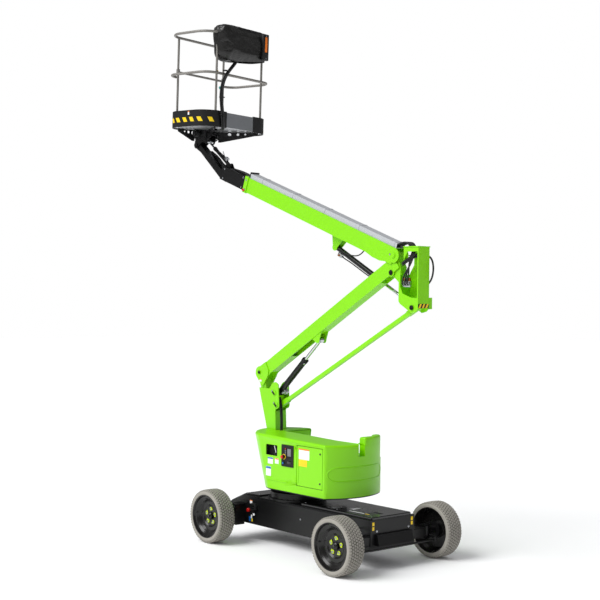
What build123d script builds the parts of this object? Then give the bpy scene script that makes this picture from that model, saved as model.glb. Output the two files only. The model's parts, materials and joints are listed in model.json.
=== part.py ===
from build123d import *
import os
from math import atan2, cos, degrees, hypot, radians, sin, tan

os.makedirs("parts", exist_ok=True)

# Articulating boom lift, battery electric, about 12 m working height.
# Frame: millimetres, +X towards the platform end, +Y to the left of the machine, +Z up.
# The origin lies on the ground, midway between the axles and the two sides.

# ---------------------------------------------------------------- running gear
WHEELBASE = 2165
OVERALL_WIDTH = 1700
TYRE_DIA = 620
TYRE_WIDTH = 215
RIM_SEAT_R = 250
RIM_WALL = 9
RIM_FACE_IN = 4           # wheel disc's inner face, outboard of the tyre's middle plane
HUB_BORE_R = 42
RUN_GAP = 0.3             # gap between faces that turn on each other
AXLE_Z = TYRE_DIA / 2
DRIVE_X = WHEELBASE / 2
STEER_X = -WHEELBASE / 2
WHEEL_Y = (OVERALL_WIDTH - TYRE_WIDTH) / 2
KINGPIN_INSET = 152.5     # kingpin, inboard of the tyre's middle plane
KINGPIN_Y = WHEEL_Y - KINGPIN_INSET
KINGPIN_R = 16
YOKE_GAP = 118            # clear height between the yoke's two lugs
YOKE_LUG = 18
ARM_LENGTH = 135          # steering arm, kingpin to tie rod
TIE_ROD_Z = 234
TIE_ROD_R = 11

# ---------------------------------------------------------------- chassis
FRAME_HALF = 330
FRAME_BOTTOM = 200
FRAME_TOP = 530
FRAME_REAR = -1150
FRAME_WALL = 10
NOSE_START = 1005
NOSE_TIP = 1285
NOSE_TIP_Z = 424
COVER_HALF = 295
COVER_THICK = 30
COVER_REAR = -1140
BUMPER_TOP = 378
BUMPER_BOTTOM = 262
BUMPER_HALF = 264

# ---------------------------------------------------------------- turret
SLEW_X = 400
SLEW_RING_R = 352
SLEW_RING_H = 70
TURRET_BOTTOM = 688
HOOD_TOP = 1283           # at the middle of the machine
HOOD_TOP_PITCH = 1.6      # top rises towards the front
HOOD_BOW = 323            # depth of the rounded front
HOOD_HALF = 430
HOOD_REAR_CORNER = -520
HOOD_REAR = -660
HOOD_FRONT_BOTTOM = 753
HOOD_FRONT_TOP = 960
HOOD_WALL = 8
HOOD_TOP_SKIN = 14
HOOD_SEAM = -62           # front edge of the side doors
DOOR_REAR = -486
DOOR_BOTTOM = 780
DOOR_TOP = 1222
DOOR_GAP = 6
HINGE_X = HOOD_SEAM + 2   # door hinge's axis
HINGE_R = 5
HINGE_Y = HOOD_HALF + HINGE_R + RUN_GAP
HINGE_PIN_R = 3
HINGE_END = 30            # door's hinge barrel, from the door's top and bottom
SLOT_HALF = 46
SLOT_FLOOR = 1130
SLOT_END = -250

# ---------------------------------------------------------------- linkage pins, (X, Z)
LOWER_FOOT = (1060, 1970)
TIE_FOOT = (725, 1600)
TIE_HEAD = (-1475, 2784)
LOWER_HEAD = (
    TIE_HEAD[0] - TIE_FOOT[0] + LOWER_FOOT[0],
    TIE_HEAD[1] - TIE_FOOT[1] + LOWER_FOOT[1],
)
UPPER_FOOT = (LOWER_HEAD[0] - 44, LOWER_HEAD[1] + 183)
LOWER_RAM_FOOT = (760, 1739)
LOWER_RAM_HEAD = (40, 2390)
UPPER_RAM_HEAD = (-95, 3455)
UPPER_RAM_FOOT = (-1330, 2790)
UPPER_RAM_Y = -113
UPPER_PITCH = 20
UPPER_LENGTH = 2738
LEVEL_PIVOT = (
    # hinge of the platform's bracket, from the end of the boom's outer tube
    UPPER_FOOT[0] + UPPER_LENGTH * cos(radians(UPPER_PITCH)) + 1036,
    UPPER_FOOT[1] + UPPER_LENGTH * sin(radians(UPPER_PITCH)) + 556.5,
)
LEVEL_RAM_FOOT = (LEVEL_PIVOT[0] - 635, LEVEL_PIVOT[1] - 310)
LEVEL_RAM_HEAD = (LEVEL_PIVOT[0] - 210, LEVEL_PIVOT[1] + 20)

# ---------------------------------------------------------------- post
POST_HALF = 84
POST_PLATE = 10
POST_LEAN = 17.7
POST_FRONT = 900          # front edge at the height below
POST_FRONT_Z = 1320
POST_REAR = 742
POST_SHOULDER = 1786
HEAD_HALF = 54

# ---------------------------------------------------------------- lower boom
LOWER_PITCH = 30.1
LOWER_DEPTH = 150
LOWER_HALF = 62
LOWER_WALL = 6
LOWER_DROP = 19           # boom's middle line below its foot pin
LOWER_FORK_R = 128
RAM_SLOT = 46             # half width of the slot under the boom
CHEEK_PLATE = 11
CHEEK_R = 168

# ---------------------------------------------------------------- upper boom
UPPER_DEPTH = 182
UPPER_HALF = 76
UPPER_WALL = 6
HEEL_DROP = 121
TRAY_HEIGHT = 55
TRAY_HALF = 62
INNER_HALF = 58
INNER_DEPTH = 140
NOSE_LENGTH = 500
NOSE_DEPTH = 172
NOSE_HALF = 66
ARM_PITCH = 41.5
ARM_HALF = 48
BRACKET_IN = 53           # inner face of the levelling bracket's side plates

# ---------------------------------------------------------------- knuckle
KNUCKLE_HALF = 84
KNUCKLE_PLATE = 8
KNUCKLE_FRONT = -1276
KNUCKLE_REAR = -1560
KNUCKLE_TOP = 3418
KNUCKLE_BOTTOM = 2742
LUG_HALF = 45
CLEVIS_Y = -149           # middle of the upper ram's outer clevis plate

# ---------------------------------------------------------------- pins and rams
PIN_R = 20
TIE_HALF = 26
TIE_DEPTH = 44

# ---------------------------------------------------------------- platform
PLATFORM_YAW = 10.6
PLATFORM_TILT = 1.6
HUB_X = LEVEL_PIVOT[0] - 110
HUB_Z = LEVEL_PIVOT[1] + 102
HUB_R = 160
DECK_SETBACK = 226        # deck's middle, behind the rotator
DECK_TOP = 105            # deck's walking face, above the rotator's face
DECK_THICK = 36
DECK_LONG = 1200          # across the boom
DECK_WIDE = 730           # along the boom
DECK_CORNER = 215
TOE_HEIGHT = 150
TOE_DROP = 50
TOE_WALL = 14
RAIL_R = 16
RAIL_LONG = DECK_LONG - 15
RAIL_WIDE = DECK_WIDE - 16
MID_RAIL = 625
TOP_RAIL = 1126
POST_X = DECK_WIDE / 2 - 35
POST_Y = DECK_LONG / 2 - 178
POST_R = 14
CONSOLE_WIDE = 230
CONSOLE_LONG = 560
CONSOLE_HIGH = 170
CONSOLE_Y = -60           # console's middle, along the inner rail
BAG_WIDE = 300            # soft cover over the console
BAG_FROM = -390
BAG_TO = 450
BAG_DROP = 285            # below the top rail
BAG_WALL = 8


# ---------------------------------------------------------------- planes
def side_plane(x=0, z=0, pitch=0, y=0):
    """Plane of a side profile: local x along the pitch, local y above it, normal to -Y."""
    angle = radians(pitch)
    return Plane(origin=(x, y, z), x_dir=(cos(angle), 0, sin(angle)), z_dir=(0, -1, 0))


def wheel_plane(x, side):
    """Section plane of a wheel: local x outboard along the axle, local y along the radius."""
    return Plane(origin=(x, side * WHEEL_Y, AXLE_Z), x_dir=(0, side, 0), z_dir=(side, 0, 0))


def ram_plane(foot, head, y=0):
    """Cross-section plane at a ram's foot pin, normal along the ram."""
    return Plane(
        origin=(foot[0], y, foot[1]),
        x_dir=(0, 1, 0),
        z_dir=(head[0] - foot[0], 0, head[1] - foot[1]),
    )


def rotator_plane(height=0, yaw=0):
    """Plane of the rotator's face; without a yaw it is in line with the boom."""
    tilt = radians(PLATFORM_TILT)
    turn = radians(yaw)
    face = Plane(
        origin=(HUB_X, 0, HUB_Z),
        x_dir=(cos(turn) * cos(tilt), sin(turn), cos(turn) * sin(tilt)),
        z_dir=(-sin(tilt), 0, cos(tilt)),
    )
    return face.offset(height)


def platform_plane(height=0):
    """Plane of the platform, parallel to its deck, turned about the rotator's axis."""
    return rotator_plane(height, PLATFORM_YAW)


def span(start, end):
    return hypot(end[0] - start[0], end[1] - start[1])


def pitch_of(start, end):
    return degrees(atan2(end[1] - start[1], end[0] - start[0]))


def local(plane_origin, pitch, point):
    """A world (X, Z) point in the coordinates of a pitched side plane."""
    angle = radians(pitch)
    dx = point[0] - plane_origin[0]
    dz = point[1] - plane_origin[1]
    return (dx * cos(angle) + dz * sin(angle), dz * cos(angle) - dx * sin(angle))


# ---------------------------------------------------------------- wheels
WHEELS = {
    # name: (axle position X, side)
    "front_left": (DRIVE_X, 1),
    "front_right": (DRIVE_X, -1),
    "rear_left": (STEER_X, 1),
    "rear_right": (STEER_X, -1),
}

half_tyre = TYRE_WIDTH / 2
tyre_r = TYRE_DIA / 2
for corner, (wheel_x, wheel_side) in WHEELS.items():
    with BuildPart() as tyre:
        with BuildSketch(wheel_plane(wheel_x, wheel_side)):
            with BuildLine():
                Polyline(
                    (-half_tyre + 6, RIM_SEAT_R),
                    (half_tyre - 6, RIM_SEAT_R),
                    (half_tyre, RIM_SEAT_R + 22),
                    (half_tyre - 5, tyre_r - 20),
                    (half_tyre - 22, tyre_r - 4),
                )
                ThreePointArc(
                    (half_tyre - 22, tyre_r - 4), (0, tyre_r), (22 - half_tyre, tyre_r - 4)
                )
                Polyline(
                    (22 - half_tyre, tyre_r - 4),
                    (5 - half_tyre, tyre_r - 20),
                    (-half_tyre, RIM_SEAT_R + 22),
                    (6 - half_tyre, RIM_SEAT_R),
                )
            make_face()
        revolve(axis=Axis((wheel_x, 0, AXLE_Z), (0, 1, 0)))
    tyre.part.label = f"tyre_{corner}"
    export_step(tyre.part, f"parts/tyre_{corner}.step")

    with BuildPart() as rim:
        with BuildSketch(wheel_plane(wheel_x, wheel_side)):
            with BuildLine():
                Polyline(
                    (half_tyre - 4, RIM_SEAT_R - RUN_GAP),
                    (-half_tyre + 4, RIM_SEAT_R - RUN_GAP),
                    (-half_tyre + 4, RIM_SEAT_R - RIM_WALL),
                    (-half_tyre + 40, RIM_SEAT_R - 24),
                    (RIM_FACE_IN + 6, RIM_SEAT_R - 38),
                    (RIM_FACE_IN, RIM_SEAT_R - 52),
                    (RIM_FACE_IN, HUB_BORE_R),
                    (RIM_FACE_IN + 12, HUB_BORE_R),
                    (RIM_FACE_IN + 12, 112),
                    (RIM_FACE_IN + 26, 132),
                    (RIM_FACE_IN + 26, 168),
                    (RIM_FACE_IN + 52, 190),
                    (RIM_FACE_IN + 70, 212),
                    (RIM_FACE_IN + 74, 228),
                    (half_tyre - 10, RIM_SEAT_R - RIM_WALL - 4),
                    (half_tyre - 4, RIM_SEAT_R - RIM_WALL),
                    close=True,
                )
            make_face()
        revolve(axis=Axis((wheel_x, 0, AXLE_Z), (0, 1, 0)))
        # domed hub cap over the bore
        with BuildSketch(wheel_plane(wheel_x, wheel_side)):
            with BuildLine():
                cap = Polyline(
                    (RIM_FACE_IN, 0),
                    (RIM_FACE_IN, HUB_BORE_R),
                    (RIM_FACE_IN + 36, HUB_BORE_R),
                    (RIM_FACE_IN + 46, HUB_BORE_R - 10),
                    (RIM_FACE_IN + 46, 0),
                    close=True,
                )
            make_face()
        revolve(axis=Axis((wheel_x, 0, AXLE_Z), (0, 1, 0)))
    rim.part.label = f"rim_{corner}"
    export_step(rim.part, f"parts/rim_{corner}.step")

# ---------------------------------------------------------------- chassis frame
# Closed box section, its nose sloping down over the drive axle.
with BuildPart() as chassis_frame:
    with BuildSketch(side_plane()) as frame_profile:
        with BuildLine():
            Polyline(
                (FRAME_REAR, FRAME_BOTTOM),
                (NOSE_TIP - 110, FRAME_BOTTOM),
                (NOSE_TIP, FRAME_BOTTOM + 90),
                (NOSE_TIP, NOSE_TIP_Z - 14),
                (NOSE_START, FRAME_TOP),
                (FRAME_REAR, FRAME_TOP),
                close=True,
            )
        make_face()
    extrude(amount=FRAME_HALF, both=True)
    with BuildSketch(side_plane()):
        add(frame_profile.sketch_local)
        offset(amount=-FRAME_WALL)
    extrude(amount=FRAME_HALF - FRAME_WALL, both=True, mode=Mode.SUBTRACT)
    # rear bumper, its face leaning outwards to the bottom
    with BuildSketch(side_plane()):
        with BuildLine():
            Polyline(
                (FRAME_REAR, BUMPER_BOTTOM),
                (FRAME_REAR - 60, BUMPER_BOTTOM),
                (FRAME_REAR - 32, BUMPER_TOP),
                (FRAME_REAR, BUMPER_TOP),
                close=True,
            )
        make_face()
    extrude(amount=BUMPER_HALF, both=True)
    # stiffening ribs along both flanks
    for rib_side in (1, -1):
        with BuildSketch(side_plane(y=rib_side * (FRAME_HALF + 6))):
            with Locations((-60, FRAME_TOP - 22)):
                Rectangle(2 * 780, 24)
        extrude(amount=6, both=True)
chassis_frame.part.label = "chassis_frame"
export_step(chassis_frame.part, "parts/chassis_frame.step")

# ---------------------------------------------------------------- chassis covers
ring_clear = SLEW_X - SLEW_RING_R
with BuildPart() as chassis_covers:
    with BuildSketch(Plane.XY.offset(FRAME_TOP)):
        with Locations(((COVER_REAR + ring_clear - 20) / 2, 0)):
            RectangleRounded(ring_clear - 20 - COVER_REAR, 2 * COVER_HALF, 24)
    extrude(amount=COVER_THICK)
    fillet(chassis_covers.faces().sort_by(Axis.Z)[-1].edges(), 10)
    with BuildSketch(side_plane()):
        with BuildLine():
            Polyline(
                (SLEW_X + SLEW_RING_R + 16, FRAME_TOP),
                (NOSE_START, FRAME_TOP),
                (NOSE_TIP, NOSE_TIP_Z - 14),
                (NOSE_TIP, NOSE_TIP_Z + 2),
                (NOSE_START, FRAME_TOP + 16),
                (SLEW_X + SLEW_RING_R + 16, FRAME_TOP + 16),
                close=True,
            )
        make_face()
    extrude(amount=COVER_HALF, both=True)
chassis_covers.part.label = "chassis_covers"
export_step(chassis_covers.part, "parts/chassis_covers.step")

# ---------------------------------------------------------------- drive axle
# A motor and reduction gear on each side, bolted to a box on the frame's flank.
MOTOR_BOX_Y = 455
MOTOR_R = 92
GEAR_LENGTH = 126         # reduction gear and wheel flange, inboard of the wheel disc
FLANGE_LENGTH = 56
disc_inner_y = WHEEL_Y + RIM_FACE_IN
with BuildPart() as drive_axle:
    for axle_side in (1, -1):
        with BuildSketch(side_plane(y=axle_side * (FRAME_HALF + MOTOR_BOX_Y) / 2)):
            with BuildLine():
                Polyline(
                    (DRIVE_X - 88, 178),
                    (DRIVE_X + 70, 178),
                    (DRIVE_X + 96, 230),
                    (DRIVE_X + 96, 380),
                    (DRIVE_X + 40, 422),
                    (DRIVE_X - 88, 422),
                    close=True,
                )
            make_face()
        extrude(amount=(MOTOR_BOX_Y - FRAME_HALF) / 2, both=True)
        for inner_y, outer_y, radius in (
            (MOTOR_BOX_Y, disc_inner_y - GEAR_LENGTH, MOTOR_R),
            (disc_inner_y - GEAR_LENGTH, disc_inner_y - FLANGE_LENGTH, MOTOR_R - 14),
            (disc_inner_y - FLANGE_LENGTH, disc_inner_y - RUN_GAP, 108),
        ):
            middle = axle_side * (inner_y + outer_y) / 2
            with BuildSketch(side_plane(DRIVE_X, AXLE_Z, y=middle)):
                Circle(radius)
            extrude(amount=(outer_y - inner_y) / 2, both=True)
drive_axle.part.label = "drive_axle"
export_step(drive_axle.part, "parts/drive_axle.step")

# ---------------------------------------------------------------- steering axle
lug_inner = YOKE_GAP / 2
lug_middle = lug_inner + YOKE_LUG / 2
with BuildPart() as steer_axle:
    for axle_side in (1, -1):
        stub_y = axle_side * (FRAME_HALF + KINGPIN_Y - 78) / 2
        with BuildSketch(side_plane(STEER_X, AXLE_Z, y=stub_y)):
            RectangleRounded(118, 112, 12)
        extrude(amount=(KINGPIN_Y - 78 - FRAME_HALF) / 2, both=True)
        with BuildSketch(side_plane(STEER_X, AXLE_Z, y=axle_side * (KINGPIN_Y - 72))):
            Rectangle(84, 2 * (lug_inner + YOKE_LUG))
        extrude(amount=10, both=True)
        for level in (AXLE_Z - lug_middle, AXLE_Z + lug_middle):
            with BuildSketch(Plane.XY.offset(level)):
                with Locations((STEER_X, axle_side * (KINGPIN_Y - 32))):
                    Rectangle(84, 72)
                with Locations((STEER_X, axle_side * KINGPIN_Y)):
                    Circle(42)
            extrude(amount=YOKE_LUG / 2, both=True)
            with BuildSketch(Plane.XY.offset(level)):
                with Locations((STEER_X, axle_side * KINGPIN_Y)):
                    Circle(KINGPIN_R + RUN_GAP)
            extrude(amount=YOKE_LUG, both=True, mode=Mode.SUBTRACT)
steer_axle.part.label = "steer_axle"
export_step(steer_axle.part, "parts/steer_axle.step")

# steering knuckles: kingpin barrel, wheel spindle and rearward steering arm
for knuckle_name, knuckle_side in (("left", 1), ("right", -1)):
    with BuildPart() as steer_knuckle:
        with BuildSketch(Plane.XY.offset(AXLE_Z - lug_inner + 0.8)):
            with Locations((STEER_X, knuckle_side * KINGPIN_Y)):
                Circle(36)
        extrude(amount=YOKE_GAP - 1.6)
        with BuildSketch(Plane.XY.offset(AXLE_Z - lug_inner - YOKE_LUG - 4)):
            with Locations((STEER_X, knuckle_side * KINGPIN_Y)):
                Circle(KINGPIN_R)
        extrude(amount=YOKE_GAP + 2 * YOKE_LUG + 8)
        for inner_y, outer_y, radius in (
            (KINGPIN_Y + 20, disc_inner_y - FLANGE_LENGTH + 10, 44),
            (disc_inner_y - FLANGE_LENGTH + 10, disc_inner_y - RUN_GAP, 96),
        ):
            middle = knuckle_side * (inner_y + outer_y) / 2
            with BuildSketch(side_plane(STEER_X, AXLE_Z, y=middle)):
                Circle(radius)
            extrude(amount=(outer_y - inner_y) / 2, both=True)
        with BuildSketch(Plane.XY.offset(AXLE_Z - lug_inner + 0.8)):
            with Locations((STEER_X - ARM_LENGTH / 2, knuckle_side * KINGPIN_Y)):
                Rectangle(ARM_LENGTH, 30)
            with Locations((STEER_X - ARM_LENGTH, knuckle_side * KINGPIN_Y)):
                Circle(20)
        extrude(amount=14)
        with BuildSketch(Plane.XY.offset(AXLE_Z - lug_inner)):
            with Locations((STEER_X - ARM_LENGTH, knuckle_side * KINGPIN_Y)):
                Circle(8 + RUN_GAP)
        extrude(amount=20, mode=Mode.SUBTRACT)
    steer_knuckle.part.label = f"steer_knuckle_{knuckle_name}"
    export_step(steer_knuckle.part, f"parts/steer_knuckle_{knuckle_name}.step")

arm_underside = AXLE_Z - lug_inner + 0.8
with BuildPart() as steer_tie_rod:
    with BuildSketch(side_plane(STEER_X - ARM_LENGTH, TIE_ROD_Z)):
        Circle(TIE_ROD_R)
    extrude(amount=KINGPIN_Y, both=True)
    for rod_side in (1, -1):
        with BuildSketch(Plane.XY.offset(TIE_ROD_Z - 12)):
            with Locations((STEER_X - ARM_LENGTH, rod_side * KINGPIN_Y)):
                Circle(19)
        extrude(amount=arm_underside - 0.5 - TIE_ROD_Z + 12)
        with BuildSketch(Plane.XY.offset(TIE_ROD_Z)):
            with Locations((STEER_X - ARM_LENGTH, rod_side * KINGPIN_Y)):
                Circle(8)
        extrude(amount=arm_underside + 18 - TIE_ROD_Z)
steer_tie_rod.part.label = "steer_tie_rod"
export_step(steer_tie_rod.part, "parts/steer_tie_rod.step")

# ---------------------------------------------------------------- traction battery
with BuildPart() as battery_pack:
    with BuildSketch(Plane.XY.offset(FRAME_BOTTOM + FRAME_WALL)):
        with Locations((-420, 0)):
            Rectangle(760, 2 * (FRAME_HALF - FRAME_WALL - 12))
    extrude(amount=270)
battery_pack.part.label = "battery_pack"
export_step(battery_pack.part, "parts/battery_pack.step")

# ---------------------------------------------------------------- slew ring
with BuildPart() as slew_ring:
    with BuildSketch(Plane.XY.offset(FRAME_TOP)):
        with Locations((SLEW_X, 0)):
            Circle(SLEW_RING_R)
            Circle(SLEW_RING_R - 90, mode=Mode.SUBTRACT)
    extrude(amount=24)
    with BuildSketch(Plane.XY.offset(FRAME_TOP + 24)):
        with Locations((SLEW_X, 0)):
            Circle(SLEW_RING_R - 22)
            Circle(SLEW_RING_R - 90, mode=Mode.SUBTRACT)
    extrude(amount=SLEW_RING_H - 24)
slew_ring.part.label = "slew_ring"
export_step(slew_ring.part, "parts/slew_ring.step")


# ---------------------------------------------------------------- turret
def hood_edge(front, inset=0):
    """Plan of the hood: bowed rear, straight flanks and a round front."""
    half = HOOD_HALF - inset
    corner = HOOD_REAR_CORNER + inset
    rear = HOOD_REAR + inset
    nose = front - inset
    shoulder = front - HOOD_BOW
    ThreePointArc((corner, half), (rear, 0), (corner, -half))
    Line((corner, -half), (shoulder, -half))
    ThreePointArc((shoulder, -half), (nose, 0), (shoulder, half))
    Line((shoulder, half), (corner, half))


def hood_top(inset=0):
    """Plane of the hood's top, rising towards the front."""
    angle = radians(HOOD_TOP_PITCH)
    return Plane(
        origin=(0, 0, HOOD_TOP - inset),
        x_dir=(cos(angle), 0, sin(angle)),
        z_dir=(-sin(angle), 0, cos(angle)),
    )


turntable_z = FRAME_TOP + SLEW_RING_H + RUN_GAP
with BuildPart() as turntable:
    with BuildSketch(Plane.XY.offset(turntable_z)):
        with Locations((SLEW_X, 0)):
            Circle(SLEW_RING_R - 22)
    extrude(amount=22)
    with BuildSketch(Plane.XY.offset(turntable_z + 22)):
        with Locations((SLEW_X - 180, 0)):
            Rectangle(860, 420)
    extrude(amount=TURRET_BOTTOM - 12 - turntable_z - 22)
    with BuildSketch(Plane.XY.offset(TURRET_BOTTOM - 12)):
        with BuildLine():
            hood_edge(HOOD_FRONT_BOTTOM, HOOD_WALL / 2)
        make_face()
    extrude(amount=12 - RUN_GAP)
turntable.part.label = "turntable"
export_step(turntable.part, "parts/turntable.step")

with BuildPart() as hood:
    with BuildSketch(Plane.XY.offset(TURRET_BOTTOM)):
        with BuildLine():
            hood_edge(HOOD_FRONT_BOTTOM)
        make_face()
    with BuildSketch(hood_top()):
        with BuildLine():
            hood_edge(HOOD_FRONT_TOP)
        make_face()
    loft(ruled=True)
    fillet(hood.faces().sort_by(Axis.Z)[-1].edges(), 28)
    with BuildSketch(Plane.XY.offset(TURRET_BOTTOM)):
        with BuildLine():
            hood_edge(HOOD_FRONT_BOTTOM, HOOD_WALL)
        make_face()
    with BuildSketch(hood_top(HOOD_TOP_SKIN)):
        with BuildLine():
            hood_edge(HOOD_FRONT_TOP, HOOD_WALL)
        make_face()
    loft(ruled=True, mode=Mode.SUBTRACT)
    # opening for the post
    with BuildSketch(Plane.XY.offset(HOOD_TOP + 60)):
        with Locations(((POST_FRONT + POST_REAR) / 2 - 2, 0)):
            Rectangle(POST_FRONT - POST_REAR + 44, 2 * POST_HALF + 16)
    extrude(amount=-100, mode=Mode.SUBTRACT)
    # slot in the rear for the stowed tie link
    with BuildSketch(Plane.YZ.offset(HOOD_REAR - 10)):
        with Locations((0, (SLOT_FLOOR + HOOD_TOP + 40) / 2)):
            Rectangle(2 * SLOT_HALF, HOOD_TOP + 40 - SLOT_FLOOR)
    extrude(amount=SLOT_END - HOOD_REAR + 10, mode=Mode.SUBTRACT)
    # side door openings
    with BuildSketch(side_plane()):
        with Locations(((HOOD_SEAM + DOOR_REAR) / 2, (DOOR_BOTTOM + DOOR_TOP) / 2)):
            Rectangle(HOOD_SEAM - DOOR_REAR + 2 * DOOR_GAP, DOOR_TOP - DOOR_BOTTOM + 2 * DOOR_GAP)
    extrude(amount=HOOD_HALF + 10, both=True, mode=Mode.SUBTRACT)
    # hand pump opening in the left flank
    with BuildSketch(side_plane(y=HOOD_HALF + 10)):
        with Locations((383, 1128)):
            RectangleRounded(204, 122, 12)
    extrude(amount=40, mode=Mode.SUBTRACT)
    # hinge pins of the side doors, held by a knuckle above and below
    for flank in (1, -1):
        with BuildSketch(Plane.XY.offset(DOOR_BOTTOM)):
            with Locations((HINGE_X, flank * HINGE_Y)):
                Circle(HINGE_PIN_R)
        extrude(amount=DOOR_TOP - DOOR_BOTTOM)
        for knuckle_z in (DOOR_BOTTOM, DOOR_TOP - HINGE_END + RUN_GAP):
            with BuildSketch(Plane.XY.offset(knuckle_z)):
                with Locations((HINGE_X, flank * HINGE_Y)):
                    Circle(HINGE_R)
                with Locations((HINGE_X + 17, flank * (HOOD_HALF + 1))):
                    Rectangle(34, 4)
            extrude(amount=HINGE_END - RUN_GAP)
hood.part.label = "hood"
export_step(hood.part, "parts/hood.step")

# liner that closes the slot's floor and flanks inside the hood
slot_depth = HOOD_TOP - SLOT_FLOOR
with BuildPart() as hood_slot:
    with BuildSketch(Plane.YZ.offset(HOOD_REAR + 12)):
        with Locations((0, SLOT_FLOOR + slot_depth / 2 - 3)):
            Rectangle(2 * SLOT_HALF + 12, slot_depth + 6)
        with Locations((0, SLOT_FLOOR + slot_depth / 2)):
            Rectangle(2 * SLOT_HALF, slot_depth, mode=Mode.SUBTRACT)
    extrude(amount=SLOT_END - HOOD_REAR - 12)
    with BuildSketch(Plane.YZ.offset(SLOT_END)):
        with Locations((0, SLOT_FLOOR + slot_depth / 2 - 3)):
            Rectangle(2 * SLOT_HALF + 12, slot_depth + 6)
    extrude(amount=6)
    with BuildSketch(hood_top(HOOD_TOP_SKIN + RUN_GAP)):
        Rectangle(2000, 4 * SLOT_HALF)
    extrude(amount=100, mode=Mode.SUBTRACT)
hood_slot.part.label = "hood_slot"
export_step(hood_slot.part, "parts/hood_slot.step")

for door_name, door_side in (("left", 1), ("right", -1)):
    with BuildPart() as door:
        with BuildSketch(side_plane(y=door_side * (HOOD_HALF - HOOD_WALL / 2))):
            with Locations(((HOOD_SEAM + DOOR_REAR) / 2, (DOOR_BOTTOM + DOOR_TOP) / 2)):
                RectangleRounded(HOOD_SEAM - DOOR_REAR, DOOR_TOP - DOOR_BOTTOM, 14)
        extrude(amount=HOOD_WALL / 2, both=True)
        with BuildSketch(Plane.XY.offset(DOOR_BOTTOM + HINGE_END)):
            with Locations((HINGE_X, door_side * HINGE_Y)):
                Circle(HINGE_R)
            with Locations((HINGE_X - 17, door_side * (HOOD_HALF + 1))):
                Rectangle(34, 4)
        extrude(amount=DOOR_TOP - DOOR_BOTTOM - 2 * HINGE_END)
        with BuildSketch(Plane.XY.offset(DOOR_BOTTOM)):
            with Locations((HINGE_X, door_side * HINGE_Y)):
                Circle(HINGE_PIN_R + RUN_GAP)
        extrude(amount=DOOR_TOP - DOOR_BOTTOM, mode=Mode.SUBTRACT)
    door.part.label = f"door_{door_name}"
    export_step(door.part, f"parts/door_{door_name}.step")

# ground control panel on the left flank, with its stop button and key switch
PANEL_X = 96
PANEL_Z = 1090
with BuildPart() as control_panel:
    with BuildSketch(side_plane(y=HOOD_HALF)):
        with Locations((PANEL_X, PANEL_Z)):
            RectangleRounded(206, 246, 10)
    extrude(amount=-8)
    with BuildSketch(side_plane(y=HOOD_HALF + 8)):
        with Locations((PANEL_X + 58, PANEL_Z - 14)):
            Circle(24)
    extrude(amount=-26)
    with BuildSketch(side_plane(y=HOOD_HALF + 8)):
        with Locations((PANEL_X + 60, PANEL_Z - 84)):
            Circle(13)
    extrude(amount=-10)
control_panel.part.label = "control_panel"
export_step(control_panel.part, "parts/control_panel.step")

# hydraulic power pack and counterweight, plain blocks inside the hood
with BuildPart() as power_pack:
    with BuildSketch(Plane.XY.offset(TURRET_BOTTOM)):
        with Locations((250, 0)):
            Rectangle(440, 640)
    extrude(amount=330)
power_pack.part.label = "power_pack"
export_step(power_pack.part, "parts/power_pack.step")

with BuildPart() as counterweight:
    with BuildSketch(Plane.XY.offset(TURRET_BOTTOM)):
        with Locations((-290, 0)):
            Rectangle(440, 700)
    extrude(amount=380)
counterweight.part.label = "counterweight"
export_step(counterweight.part, "parts/counterweight.step")


# ---------------------------------------------------------------- post
def post_front(z):
    return POST_FRONT + (z - POST_FRONT_Z) * tan(radians(POST_LEAN))


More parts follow.
